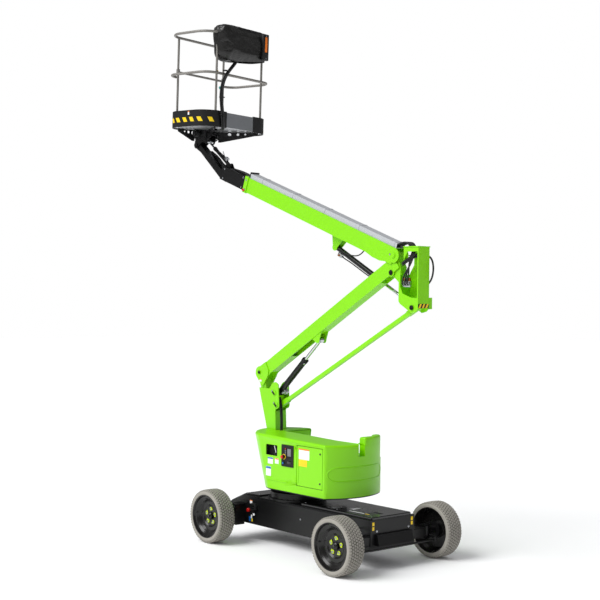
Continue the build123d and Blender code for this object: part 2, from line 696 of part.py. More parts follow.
ear_x, ear_z = LOWER_RAM_FOOT
plate_y = POST_HALF - POST_PLATE / 2
post_foot = TURRET_BOTTOM + RUN_GAP
with BuildPart() as post:
    # two flank plates, their rear ears carrying the lift ram and the tie link
    for flank in (1, -1):
        with BuildSketch(side_plane(y=flank * plate_y)):
            with BuildLine():
                Polyline(
                    (POST_REAR - 40, post_foot),
                    (post_front(post_foot), post_foot),
                    (post_front(POST_SHOULDER), POST_SHOULDER),
                    (ear_x + 96, POST_SHOULDER),
                    (ear_x + 52, ear_z + 102),
                )
                ThreePointArc(
                    (ear_x + 52, ear_z + 102), (ear_x - 8, ear_z + 129), (ear_x - 68, ear_z + 98)
                )
                Line((ear_x - 68, ear_z + 98), (TIE_FOOT[0] - 46, TIE_FOOT[1] + 16))
                ThreePointArc(
                    (TIE_FOOT[0] - 46, TIE_FOOT[1] + 16),
                    (TIE_FOOT[0] - 34, TIE_FOOT[1] - 34),
                    (TIE_FOOT[0] + 10, TIE_FOOT[1] - 48),
                )
                Polyline(
                    (TIE_FOOT[0] + 10, TIE_FOOT[1] - 48),
                    (POST_REAR, TIE_FOOT[1] - 72),
                    (POST_REAR - 40, post_foot),
                )
            make_face()
        extrude(amount=POST_PLATE / 2, both=True)
    # front plate, and the rear plate below the tie link
    with BuildSketch(side_plane()):
        with BuildLine():
            Polyline(
                (post_front(post_foot) - 10.5, post_foot),
                (post_front(post_foot), post_foot),
                (post_front(POST_SHOULDER), POST_SHOULDER),
                (post_front(POST_SHOULDER) - 10.5, POST_SHOULDER),
                close=True,
            )
        make_face()
        with BuildLine():
            Polyline(
                (POST_REAR - 40, post_foot),
                (POST_REAR - 30, post_foot),
                (POST_REAR + 10, TIE_FOOT[1] - 72),
                (POST_REAR, TIE_FOOT[1] - 72),
                close=True,
            )
        make_face()
    extrude(amount=POST_HALF - POST_PLATE, both=True)
    # head that carries the lower boom's foot, standing on a cross plate
    with BuildSketch(side_plane()):
        with BuildLine():
            Polyline(
                (LOWER_FOOT[0] - 128, POST_SHOULDER - 60),
                (post_front(POST_SHOULDER - 60) - 6, POST_SHOULDER - 60),
                (post_front(POST_SHOULDER), POST_SHOULDER),
                (LOWER_FOOT[0] + 56, LOWER_FOOT[1] - 16),
            )
            ThreePointArc(
                (LOWER_FOOT[0] + 56, LOWER_FOOT[1] - 16),
                (LOWER_FOOT[0] + 20, LOWER_FOOT[1] + 55),
                (LOWER_FOOT[0] - 54, LOWER_FOOT[1] + 22),
            )
            Line(
                (LOWER_FOOT[0] - 54, LOWER_FOOT[1] + 22),
                (LOWER_FOOT[0] - 128, POST_SHOULDER - 60),
            )
        make_face()
    extrude(amount=HEAD_HALF, both=True)
    with BuildSketch(side_plane()):
        with BuildLine():
            Polyline(
                (LOWER_FOOT[0] - 160, POST_SHOULDER - 74),
                (post_front(POST_SHOULDER - 74) - 6, POST_SHOULDER - 74),
                (post_front(POST_SHOULDER - 56) - 6, POST_SHOULDER - 56),
                (LOWER_FOOT[0] - 160, POST_SHOULDER - 56),
                close=True,
            )
        make_face()
    extrude(amount=POST_HALF - POST_PLATE, both=True)
    # pins: lift ram foot and tie link foot, with heads outside the flanks
    for pin_x, pin_z in (LOWER_RAM_FOOT, TIE_FOOT):
        with BuildSketch(side_plane(pin_x, pin_z)):
            Circle(PIN_R)
        extrude(amount=POST_HALF, both=True)
        for flank in (1, -1):
            with BuildSketch(side_plane(pin_x, pin_z, y=flank * (POST_HALF + 4))):
                Circle(PIN_R + 10)
            extrude(amount=4, both=True)
    # lower boom foot pin
    with BuildSketch(side_plane(LOWER_FOOT[0], LOWER_FOOT[1])):
        Circle(PIN_R + 4)
    extrude(amount=LOWER_HALF + CHEEK_PLATE + 4, both=True)
    # guide peg on the front
    with BuildSketch(side_plane(post_front(1483), 1483, POST_LEAN)) as peg_seat:
        with Locations((10, 0)):
            Rectangle(44, 30)
    extrude(amount=9, both=True)
post.part.label = "post"
export_step(post.part, "parts/post.step")

# ---------------------------------------------------------------- lower boom
head_local = local(LOWER_FOOT, -LOWER_PITCH, LOWER_HEAD)
ram_local = local(LOWER_FOOT, -LOWER_PITCH, LOWER_RAM_HEAD)
lower_top = LOWER_DEPTH / 2 - LOWER_DROP
lower_bottom = -LOWER_DEPTH / 2 - LOWER_DROP
lower_side = side_plane(LOWER_FOOT[0], LOWER_FOOT[1], -LOWER_PITCH)
FORK_LENGTH = 200         # open fork at each end of the lower boom's tube
fork_slot = LUG_HALF + 6

with BuildPart() as lower_boom:
    # box section with a rounded end about each pin
    with BuildSketch(lower_side):
        with Locations((head_local[0] / 2, -LOWER_DROP)):
            Rectangle(-head_local[0], LOWER_DEPTH)
    extrude(amount=LOWER_HALF, both=True)
    with BuildSketch(lower_side):
        with Locations((head_local[0] - 80, -LOWER_DROP)):
            Rectangle(160, LOWER_DEPTH)
        with Locations(head_local):
            Circle(LOWER_FORK_R, mode=Mode.INTERSECT)
    extrude(amount=LOWER_HALF, both=True)
    with BuildSketch(lower_side):
        with Locations(head_local):
            Circle(44)
        Circle(70)
    extrude(amount=LOWER_HALF, both=True)
    # hollow of the tube between the forks
    with BuildSketch(lower_side):
        with Locations((head_local[0] / 2, -LOWER_DROP)):
            Rectangle(-head_local[0] - 2 * FORK_LENGTH, LOWER_DEPTH - 2 * LOWER_WALL)
    extrude(amount=LOWER_HALF - LOWER_WALL, both=True, mode=Mode.SUBTRACT)
    # doubled cheeks at the foot
    for flank in (1, -1):
        cheek_y = flank * (LOWER_HALF + CHEEK_PLATE / 2)
        with BuildSketch(side_plane(LOWER_FOOT[0], LOWER_FOOT[1], -LOWER_PITCH, cheek_y)):
            with BuildLine():
                Line((-158, lower_top), (-40, 60))
                ThreePointArc((-40, 60), (44, 58), (76, -20))
                Line((76, -20), (44, -150))
                ThreePointArc((44, -150), (20, -164), (-8, -158))
                Polyline((-8, -158), (-112, -112), (-158, -60), (-158, lower_top))
            make_face()
        extrude(amount=CHEEK_PLATE / 2, both=True)
    # foot fork's plates reach down with the cheeks
    with BuildSketch(lower_side):
        with BuildLine():
            Line((-190, lower_bottom + 4), (-40, 60))
            ThreePointArc((-40, 60), (44, 58), (76, -20))
            Line((76, -20), (44, -150))
            ThreePointArc((44, -150), (20, -164), (-8, -158))
            Polyline((-8, -158), (-112, -112), (-190, lower_bottom + 4))
        make_face()
    extrude(amount=LOWER_HALF, both=True)
    # room for the post's head and for the knuckle's lug
    with BuildSketch(lower_side):
        with Locations((-FORK_LENGTH / 2 + 100, -40)):
            Rectangle(FORK_LENGTH + 200, 400)
    extrude(amount=HEAD_HALF + 2, both=True, mode=Mode.SUBTRACT)
    with BuildSketch(lower_side):
        with Locations((head_local[0] - 100 + FORK_LENGTH / 2, -LOWER_DROP)):
            Rectangle(FORK_LENGTH + 200, 400)
    extrude(amount=fork_slot, both=True, mode=Mode.SUBTRACT)
    # end plates that close the tube behind each fork
    for plug in (-FORK_LENGTH - 4, head_local[0] + FORK_LENGTH + 4):
        with BuildSketch(lower_side):
            with Locations((plug, -LOWER_DROP)):
                Rectangle(8, LOWER_DEPTH - 2)
        extrude(amount=LOWER_HALF - 1, both=True)
    # long slot in the tube's underside, which the ram swings into
    with BuildSketch(lower_side):
        with Locations((ram_local[0] + 225, lower_bottom)):
            Rectangle(550, 4 * LOWER_WALL)
    extrude(amount=RAM_SLOT + 4, both=True, mode=Mode.SUBTRACT)
    # bracket of the lift ram's rod under the boom
    for flank in (1, -1):
        bracket_y = flank * (RAM_SLOT + 5.5)
        with BuildSketch(side_plane(LOWER_FOOT[0], LOWER_FOOT[1], -LOWER_PITCH, bracket_y)):
            with BuildLine():
                Line(
                    (ram_local[0] - 110, lower_bottom), (ram_local[0] - 32, ram_local[1] - 14)
                )
                ThreePointArc(
                    (ram_local[0] - 32, ram_local[1] - 14),
                    (ram_local[0], ram_local[1] - 35),
                    (ram_local[0] + 32, ram_local[1] - 14),
                )
                Polyline(
                    (ram_local[0] + 32, ram_local[1] - 14),
                    (ram_local[0] + 70, lower_bottom),
                    (ram_local[0] + 70, lower_bottom + 40),
                    (ram_local[0] - 110, lower_bottom + 40),
                    (ram_local[0] - 110, lower_bottom),
                )
            make_face()
        extrude(amount=5, both=True)
    # pin bores
    with BuildSketch(side_plane(LOWER_FOOT[0], LOWER_FOOT[1])):
        Circle(PIN_R + 4 + RUN_GAP)
    extrude(amount=LOWER_HALF + 40, both=True, mode=Mode.SUBTRACT)
    with BuildSketch(side_plane(LOWER_HEAD[0], LOWER_HEAD[1])):
        Circle(PIN_R + RUN_GAP)
    extrude(amount=LOWER_HALF + 40, both=True, mode=Mode.SUBTRACT)
lower_boom.part.label = "lower_boom"
export_step(lower_boom.part, "parts/lower_boom.step")

# ---------------------------------------------------------------- tie link
tie_local = (-span(TIE_FOOT, TIE_HEAD), 0)
tie_pitch = pitch_of(TIE_HEAD, TIE_FOOT)
with BuildPart() as tie_link:
    tie_side = side_plane(TIE_FOOT[0], TIE_FOOT[1], tie_pitch)
    with BuildSketch(tie_side):
        with Locations((tie_local[0] / 2, 0)):
            Rectangle(-tie_local[0] - 40, TIE_DEPTH)
    extrude(amount=TIE_HALF - 6, both=True)
    for eye_x in (0, tie_local[0]):
        with BuildSketch(tie_side):
            with Locations((eye_x, 0)):
                Circle(36)
        extrude(amount=TIE_HALF, both=True)
    for eye_x in (90, -90 - tie_local[0]):
        with BuildSketch(tie_side):
            with Locations((-eye_x, 0)):
                Rectangle(120, TIE_DEPTH + 12)
        extrude(amount=TIE_HALF - 2, both=True)
    for eye_x in (0, tie_local[0]):
        with BuildSketch(tie_side):
            with Locations((eye_x, 0)):
                Circle(PIN_R + RUN_GAP)
        extrude(amount=TIE_HALF + 2, both=True, mode=Mode.SUBTRACT)
tie_link.part.label = "tie_link"
export_step(tie_link.part, "parts/tie_link.step")

# ---------------------------------------------------------------- knuckle
WEB_FOOT = 2866           # front web starts above the tie link's sweep
plate_mid = KNUCKLE_HALF - KNUCKLE_PLATE / 2
with BuildPart() as knuckle:
    # two side plates
    for flank in (1, -1):
        with BuildSketch(side_plane(y=flank * plate_mid)):
            with BuildLine():
                Polyline(
                    (KNUCKLE_REAR, KNUCKLE_TOP),
                    (KNUCKLE_REAR, KNUCKLE_BOTTOM + 34),
                    (KNUCKLE_REAR + 30, KNUCKLE_BOTTOM),
                    (KNUCKLE_FRONT - 189, KNUCKLE_BOTTOM - 15),
                    (KNUCKLE_FRONT - 21, 2822),
                    (KNUCKLE_FRONT, 2850),
                    (KNUCKLE_FRONT, 3130),
                    (KNUCKLE_FRONT - 71, 3235),
                    (KNUCKLE_FRONT - 71, KNUCKLE_TOP),
                    close=True,
                )
            make_face()
        extrude(amount=KNUCKLE_PLATE / 2, both=True)
    # rear face, front web and top cap
    for x0, x1, z0, z1, half in (
        (KNUCKLE_REAR, KNUCKLE_REAR + 8, KNUCKLE_BOTTOM + 34, KNUCKLE_TOP, KNUCKLE_HALF - 4),
        (KNUCKLE_FRONT - 10, KNUCKLE_FRONT, WEB_FOOT, 3130, KNUCKLE_HALF - 4),
        (KNUCKLE_REAR - 6, KNUCKLE_FRONT - 66, KNUCKLE_TOP, KNUCKLE_TOP + 10, KNUCKLE_HALF + 6),
    ):
        with BuildSketch(side_plane()):
            with Locations(((x0 + x1) / 2, (z0 + z1) / 2)):
                Rectangle(x1 - x0, z1 - z0)
        extrude(amount=half, both=True)
    # centre lug with both boom pins
    with BuildSketch(side_plane()):
        with BuildLine():
            Line((KNUCKLE_FRONT - 4, 3020), (LOWER_HEAD[0] - 24, LOWER_HEAD[1] - 44))
            ThreePointArc(
                (LOWER_HEAD[0] - 24, LOWER_HEAD[1] - 44),
                (LOWER_HEAD[0] + 46, LOWER_HEAD[1] - 20),
                (LOWER_HEAD[0] + 34, LOWER_HEAD[1] + 36),
            )
            Line(
                (LOWER_HEAD[0] + 34, LOWER_HEAD[1] + 36),
                (UPPER_FOOT[0] + 46, UPPER_FOOT[1] - 14),
            )
            ThreePointArc(
                (UPPER_FOOT[0] + 46, UPPER_FOOT[1] - 14),
                (UPPER_FOOT[0] + 10, UPPER_FOOT[1] + 47),
                (UPPER_FOOT[0] - 44, UPPER_FOOT[1] + 20),
            )
            Polyline(
                (UPPER_FOOT[0] - 44, UPPER_FOOT[1] + 20),
                (KNUCKLE_FRONT - 4, 3126),
                (KNUCKLE_FRONT - 4, 3020),
            )
        make_face()
    extrude(amount=LUG_HALF, both=True)
    # pins of the two booms
    for (pin_x, pin_z), half in (
        (LOWER_HEAD, LOWER_HALF + 3),
        (UPPER_FOOT, UPPER_HALF + 8),
    ):
        with BuildSketch(side_plane(pin_x, pin_z)):
            Circle(PIN_R)
        extrude(amount=half, both=True)
    # clevis of the upper ram on the right flank
    ram_x, ram_z = UPPER_RAM_FOOT
    with BuildSketch(side_plane(y=CLEVIS_Y)):
        with BuildLine():
            Line((KNUCKLE_REAR + 20, ram_z - 20), (ram_x - 26, ram_z - 34))
            ThreePointArc(
                (ram_x - 26, ram_z - 34), (ram_x + 40, ram_z - 8), (ram_x + 20, ram_z + 36)
            )
            Polyline(
                (ram_x + 20, ram_z + 36),
                (KNUCKLE_REAR + 110, ram_z + 100),
                (KNUCKLE_REAR + 20, ram_z + 100),
                (KNUCKLE_REAR + 20, ram_z - 20),
            )
        make_face()
    extrude(amount=5, both=True)
    with BuildSketch(side_plane(y=(CLEVIS_Y - KNUCKLE_HALF) / 2)):
        with Locations((KNUCKLE_REAR + 29, ram_z + 40)):
            Rectangle(18, 116)
    extrude(amount=(-CLEVIS_Y - KNUCKLE_HALF) / 2 + 2, both=True)
    # cross tube behind the tie link's pin
    with BuildSketch(side_plane(TIE_HEAD[0], TIE_HEAD[1])):
        Circle(PIN_R)
    extrude(amount=KNUCKLE_HALF + 6, both=True)
knuckle.part.label = "knuckle"
export_step(knuckle.part, "parts/knuckle.step")

# ---------------------------------------------------------------- upper boom
foot_x, foot_z = UPPER_FOOT
upper_mid = -11           # boom's middle line below its foot pin
upper_top = UPPER_DEPTH / 2 + upper_mid
upper_bottom = -UPPER_DEPTH / 2 + upper_mid
ram_head_local = local(UPPER_FOOT, UPPER_PITCH, UPPER_RAM_HEAD)
upper_side = side_plane(foot_x, foot_z, UPPER_PITCH)
with BuildPart() as upper_boom:
    with BuildSketch(upper_side):
        with Locations((UPPER_LENGTH / 2, upper_mid)):
            Rectangle(UPPER_LENGTH, UPPER_DEPTH)
    extrude(amount=UPPER_HALF, both=True)
    with BuildSketch(upper_side):
        Circle(upper_top)
        with BuildLine():
            Polyline(
                (0, 0),
                (420, upper_bottom),
                (300, -HEEL_DROP),
                (181, -HEEL_DROP),
                (30, -84),
                close=True,
            )
        make_face()
    extrude(amount=UPPER_HALF, both=True)
    # hollow, open at both ends
    with BuildSketch(upper_side):
        with Locations((UPPER_LENGTH / 2 - 60, upper_mid)):
            Rectangle(UPPER_LENGTH + 200, UPPER_DEPTH - 2 * UPPER_WALL)
        with Locations((60, -60)):
            Rectangle(480, 200)
        with Locations((-60, 0)):
            Rectangle(120, 300)
    extrude(amount=UPPER_HALF - UPPER_WALL, both=True, mode=Mode.SUBTRACT)
    # bracket of the ram on the right flank
    for bracket_y in (-UPPER_HALF - 1, UPPER_RAM_Y - 40):
        with BuildSketch(side_plane(foot_x, foot_z, UPPER_PITCH, bracket_y)):
            with BuildLine():
                Polyline(
                    (ram_head_local[0] - 40, ram_head_local[1] + 10),
                    (ram_head_local[0] - 150, upper_bottom + 50),
                    (ram_head_local[0] + 130, upper_bottom + 50),
                    (ram_head_local[0] + 36, ram_head_local[1] + 10),
                )
                ThreePointArc(
                    (ram_head_local[0] + 36, ram_head_local[1] + 10),
                    (ram_head_local[0] - 2, ram_head_local[1] - 38),
                    (ram_head_local[0] - 40, ram_head_local[1] + 10),
                )
            make_face()
        extrude(amount=4, both=True)
    with BuildSketch(side_plane(foot_x, foot_z, UPPER_PITCH, -UPPER_HALF + 1)):
        with Locations((ram_head_local[0] - 10, upper_bottom + 40)):
            Rectangle(250, 12)
    extrude(amount=-UPPER_RAM_Y + 42 - UPPER_HALF)
    with BuildSketch(side_plane(UPPER_RAM_HEAD[0], UPPER_RAM_HEAD[1], y=-UPPER_HALF + 2)):
        Circle(PIN_R)
    extrude(amount=-UPPER_RAM_Y + 50 - UPPER_HALF)
    # foot pin bore
    with BuildSketch(side_plane(foot_x, foot_z)):
        Circle(PIN_R + RUN_GAP)
    extrude(amount=UPPER_HALF + 10, both=True, mode=Mode.SUBTRACT)
upper_boom.part.label = "upper_boom"
export_step(upper_boom.part, "parts/upper_boom.step")

with BuildPart() as boom_collar:
    with BuildSketch(upper_side):
        with Locations((UPPER_LENGTH - 32, upper_mid)):
            Rectangle(64, UPPER_DEPTH + 20)
    extrude(amount=UPPER_HALF + 10, both=True)
    with BuildSketch(upper_side):
        with Locations((UPPER_LENGTH - 32, upper_mid)):
            Rectangle(80, UPPER_DEPTH + 2 * RUN_GAP)
    extrude(amount=UPPER_HALF + RUN_GAP, both=True, mode=Mode.SUBTRACT)
boom_collar.part.label = "boom_collar"
export_step(boom_collar.part, "parts/boom_collar.step")

# wear ring that guides the telescope in the mouth of the boom
with BuildPart() as wear_ring:
    with BuildSketch(upper_side):
        with Locations((UPPER_LENGTH - 28, upper_mid)):
            Rectangle(72, UPPER_DEPTH - 2 * UPPER_WALL - 2 * RUN_GAP)
    extrude(amount=UPPER_HALF - UPPER_WALL - RUN_GAP, both=True)
    with BuildSketch(upper_side):
        with Locations((UPPER_LENGTH - 28, upper_mid)):
            Rectangle(100, INNER_DEPTH + 2 * RUN_GAP)
    extrude(amount=INNER_HALF + RUN_GAP, both=True, mode=Mode.SUBTRACT)
wear_ring.part.label = "wear_ring"
export_step(wear_ring.part, "parts/wear_ring.step")

# hose tray along the boom's back
with BuildPart() as hose_tray:
    with BuildSketch(upper_side):
        with Locations(((UPPER_LENGTH - 70) / 2, upper_top + TRAY_HEIGHT / 2 + RUN_GAP)):
            Rectangle(UPPER_LENGTH - 70, TRAY_HEIGHT)
    extrude(amount=TRAY_HALF, both=True)
    with BuildSketch(upper_side):
        with Locations(((UPPER_LENGTH - 70) / 2, upper_top + TRAY_HEIGHT / 2 + RUN_GAP)):
            Rectangle(UPPER_LENGTH, TRAY_HEIGHT - 6)
    extrude(amount=TRAY_HALF - 3, both=True, mode=Mode.SUBTRACT)
hose_tray.part.label = "hose_tray"
export_step(hose_tray.part, "parts/hose_tray.step")

# ---------------------------------------------------------------- telescope
INNER_START = 240
NOSE_START_S = UPPER_LENGTH + 22
nose_end = NOSE_START_S + NOSE_LENGTH
level_local = local(UPPER_FOOT, UPPER_PITCH, LEVEL_RAM_FOOT)
with BuildPart() as telescope:
    with BuildSketch(upper_side):
        with Locations(((INNER_START + NOSE_START_S) / 2 + 20, upper_mid)):
            Rectangle(NOSE_START_S - INNER_START + 40, INNER_DEPTH)
    extrude(amount=INNER_HALF, both=True)
    with BuildSketch(upper_side):
        with Locations(((INNER_START + NOSE_START_S) / 2 - 40, upper_mid)):
            Rectangle(NOSE_START_S - INNER_START, INNER_DEPTH - 16)
    extrude(amount=INNER_HALF - 8, both=True, mode=Mode.SUBTRACT)
    # head box, its front end turning into the raised arm
    arm_plane = side_plane(LEVEL_PIVOT[0], LEVEL_PIVOT[1], ARM_PITCH)
    with BuildSketch(upper_side):
        with Locations(((NOSE_START_S + nose_end) / 2, upper_mid)):
            Rectangle(NOSE_LENGTH, NOSE_DEPTH)
    extrude(amount=NOSE_HALF, both=True)
    with BuildSketch(arm_plane):
        with BuildLine():
            Polyline(
                (-800, 96), (-230, 50), (-60, 46), (-20, 41),
            )
            ThreePointArc((-20, 41), (44, 10), (-6, -45))
            Polyline((-6, -45), (-120, -22), (-680, -14), (-800, 20), (-800, 96))
        make_face()
    extrude(amount=ARM_HALF, both=True)
    # lug pair of the levelling ram on the head box
    for flank in (1, -1):
        with BuildSketch(side_plane(foot_x, foot_z, UPPER_PITCH, flank * 31)):
            with BuildLine():
                Polyline(
                    (level_local[0] - 70, upper_mid + NOSE_DEPTH / 2 - 2),
                    (level_local[0] - 26, level_local[1] + 16),
                )
                ThreePointArc(
                    (level_local[0] - 26, level_local[1] + 16),
                    (level_local[0], level_local[1] + 31),
                    (level_local[0] + 26, level_local[1] + 16),
                )
                Polyline(
                    (level_local[0] + 26, level_local[1] + 16),
                    (level_local[0] + 60, upper_mid + NOSE_DEPTH / 2 - 2),
                    (level_local[0] - 70, upper_mid + NOSE_DEPTH / 2 - 2),
                )
            make_face()
        extrude(amount=5, both=True)
    # room for the ram's eye between the lugs
    with BuildSketch(side_plane(LEVEL_RAM_FOOT[0], LEVEL_RAM_FOOT[1])):
        Circle(34)
    extrude(amount=26, both=True, mode=Mode.SUBTRACT)
    with BuildSketch(side_plane(LEVEL_RAM_FOOT[0], LEVEL_RAM_FOOT[1])):
        Circle(14)
    extrude(amount=38, both=True)
    # hinge pin of the platform's bracket
    with BuildSketch(side_plane(LEVEL_PIVOT[0], LEVEL_PIVOT[1])):
        Circle(PIN_R)
    extrude(amount=68, both=True)
telescope.part.label = "telescope"
export_step(telescope.part, "parts/telescope.step")

# ---------------------------------------------------------------- rams
RAMS = {
    # name: foot, head, Y, barrel end, barrel r, rod r, stroke out, pin r, eye r, foot half, head pin half
    "lower_ram": (LOWER_RAM_FOOT, LOWER_RAM_HEAD, 0, 620, 36, 20, 225, PIN_R, 33, 30, RAM_SLOT + 0.2),
    "upper_ram": (UPPER_RAM_HEAD, UPPER_RAM_FOOT, UPPER_RAM_Y, 700, 30, 18, 315, PIN_R, 32, 26, 28.5),
    "level_ram": (LEVEL_RAM_FOOT, LEVEL_RAM_HEAD, 0, 400, 22, 12, 130, 14, 21, 20, BRACKET_IN - 0.3),
}
EYE_HALF = 19
for ram_name, ram in RAMS.items():
    foot, head, ram_y, barrel_end, barrel_r, rod_r, stroke, pin_r, eye_r, foot_half, pin_half = ram
    length = span(foot, head)
    axis_plane = ram_plane(foot, head, ram_y)
    with BuildPart() as barrel:
        for start, end, radius in (
            (eye_r - 6, barrel_end, barrel_r),
            (barrel_end - 36, barrel_end, barrel_r + 4),
        ):
            with BuildSketch(axis_plane.offset(start)):
                Circle(radius)
            extrude(amount=end - start)
        with BuildSketch(side_plane(foot[0], foot[1], y=ram_y)):
            Circle(eye_r)
        extrude(amount=foot_half, both=True)
        with BuildSketch(side_plane(foot[0], foot[1], y=ram_y)):
            Circle(pin_r + RUN_GAP)
        extrude(amount=barrel_r + 10, both=True, mode=Mode.SUBTRACT)
        with BuildSketch(axis_plane.offset(eye_r + 8)):
            Circle(rod_r + 1)
        extrude(amount=barrel_end, mode=Mode.SUBTRACT)
    barrel.part.label = f"{ram_name}_barrel"
    export_step(barrel.part, f"parts/{ram_name}_barrel.step")

    # the rod stays 40 mm inside its barrel at full stroke
    with BuildPart() as rod:
        rod_start = barrel_end - stroke - 40
        with BuildSketch(axis_plane.offset(rod_start)):
            Circle(rod_r)
        extrude(amount=length - eye_r + 6 - rod_start)
        with BuildSketch(side_plane(head[0], head[1], y=ram_y)):
            Circle(eye_r)
        extrude(amount=EYE_HALF, both=True)
        with BuildSketch(side_plane(head[0], head[1], y=ram_y)):
            Circle(pin_r)
        extrude(amount=pin_half, both=True)
    rod.part.label = f"{ram_name}_rod"
    export_step(rod.part, f"parts/{ram_name}_rod.step")

# ---------------------------------------------------------------- platform bracket
level_pin = (LEVEL_RAM_HEAD[0] - HUB_X, LEVEL_RAM_HEAD[1] - HUB_Z)
hinge = (LEVEL_PIVOT[0] - HUB_X, LEVEL_PIVOT[1] - HUB_Z)
with BuildPart() as platform_bracket:
    with BuildSketch(rotator_plane(-30)):
        Circle(HUB_R)
        # room for the levelling ram's rod end
        with Locations((-HUB_R + 40, 0)):
            Rectangle(130, 2 * BRACKET_IN, mode=Mode.SUBTRACT)
    extrude(amount=30 - RUN_GAP)
    # side plates with the hinge and the ram's pin
    for flank in (1, -1):
        with BuildSketch(side_plane(HUB_X, HUB_Z, y=flank * (BRACKET_IN + 5))):
            with BuildLine():
                Polyline((-146, -14), (126, -14), (hinge[0] + 44, hinge[1] + 6))
                ThreePointArc(
                    (hinge[0] + 44, hinge[1] + 6),
                    (hinge[0] + 10, hinge[1] - 43),
                    (hinge[0] - 40, hinge[1] - 18),
                )
                Polyline(
                    (hinge[0] - 40, hinge[1] - 18),
                    (level_pin[0] + 60, level_pin[1] + 20),
                    (level_pin[0] + 22, level_pin[1] - 12),
                )
                ThreePointArc(
                    (level_pin[0] + 22, level_pin[1] - 12),
                    (level_pin[0] - 2, level_pin[1] - 25),
                    (level_pin[0] - 24, level_pin[1] - 8),
                )
                Polyline((level_pin[0] - 24, level_pin[1] - 8), (-146, -40), (-146, -14))
            make_face()
        extrude(amount=5, both=True)
    with BuildSketch(side_plane(LEVEL_PIVOT[0], LEVEL_PIVOT[1])):
        Circle(PIN_R + RUN_GAP)
    extrude(amount=100, both=True, mode=Mode.SUBTRACT)
platform_bracket.part.label = "platform_bracket"
export_step(platform_bracket.part, "parts/platform_bracket.step")

# ---------------------------------------------------------------- platform
deck_bottom = DECK_TOP - DECK_THICK
support_top = deck_bottom - RUN_GAP
CORNERS = {
    # name: post position from the rotator's axis
    "inner_right": (-DECK_SETBACK - POST_X, -POST_Y),
    "inner_left": (-DECK_SETBACK - POST_X, POST_Y),
    "outer_right": (-DECK_SETBACK + POST_X, -POST_Y),
    "outer_left": (-DECK_SETBACK + POST_X, POST_Y),
}
with BuildPart() as platform_support:
    with BuildSketch(platform_plane()):
        Circle(HUB_R)
    extrude(amount=18)
    with BuildSketch(platform_plane()):
        Circle(100)
    extrude(amount=support_top)
    for post_x, post_y in CORNERS.values():
        reach = hypot(post_x, post_y) - 20
        base = platform_plane()
        outward = (base.x_dir * post_x + base.y_dir * post_y).normalized()
        arm_side = Plane(
            origin=base.origin, x_dir=outward, z_dir=outward.cross(base.z_dir)
        )
        with BuildSketch(arm_side):
            with BuildLine():
                Polyline(
                    (50, 8),
                    (HUB_R + 7, 8),
                    (HUB_R + 7, -70),
                    (HUB_R + 40, -70),
                    (reach, support_top - 36),
                    (reach, support_top - 1),
                    (50, support_top - 1),
                    close=True,
                )
            make_face()
        extrude(amount=4, both=True)
        # graded lightening holes
        for hole_at, hole_r in ((0.46, 22), (0.62, 17), (0.76, 12)):
            with BuildSketch(arm_side):
                with Locations((hole_at * reach, support_top - 14 - hole_r)):
                    Circle(hole_r)
            extrude(amount=6, both=True, mode=Mode.SUBTRACT)
platform_support.part.label = "platform_support"
export_step(platform_support.part, "parts/platform_support.step")

with BuildPart() as deck:
    with BuildSketch(platform_plane(deck_bottom)):
        with Locations((-DECK_SETBACK, 0)):
            RectangleRounded(DECK_WIDE - 2 * TOE_WALL - 1, DECK_LONG - 2 * TOE_WALL - 1, DECK_CORNER)
        # notches in the edge, which the rail's uprights stand in
        for post_x, post_y in CORNERS.values():
            outward = 1 if post_x > -DECK_SETBACK else -1
            with Locations((post_x, post_y)):
                Circle(POST_R + RUN_GAP, mode=Mode.SUBTRACT)
            with Locations((post_x + outward * 25, post_y)):
                Rectangle(50, 2 * (POST_R + RUN_GAP), mode=Mode.SUBTRACT)
    extrude(amount=DECK_THICK)
deck.part.label = "deck"
export_step(deck.part, "parts/deck.step")

toe_foot = DECK_TOP - TOE_DROP
PANEL_HALF = 250          # half length of the flat panels between the moulded ends
with BuildPart() as toe_ends:
    with BuildSketch(platform_plane(toe_foot)):
        with Locations((-DECK_SETBACK, 0)):
            RectangleRounded(DECK_WIDE, DECK_LONG, DECK_CORNER + TOE_WALL)
            RectangleRounded(
                DECK_WIDE - 2 * TOE_WALL, DECK_LONG - 2 * TOE_WALL, DECK_CORNER, mode=Mode.SUBTRACT
            )
            Rectangle(DECK_WIDE + 20, 2 * PANEL_HALF, mode=Mode.SUBTRACT)
    extrude(amount=TOE_HEIGHT + TOE_DROP)
toe_ends.part.label = "toe_ends"
export_step(toe_ends.part, "parts/toe_ends.step")

with BuildPart() as toe_panels:
    with BuildSketch(platform_plane(toe_foot + 10)):
        for flank in (1, -1):
            with Locations((-DECK_SETBACK + flank * (DECK_WIDE - TOE_WALL) / 2, 0)):
                Rectangle(TOE_WALL - 6, 2 * PANEL_HALF - 1)
    extrude(amount=TOE_HEIGHT + TOE_DROP - 20)
toe_panels.part.label = "toe_panels"
export_step(toe_panels.part, "parts/toe_panels.step")

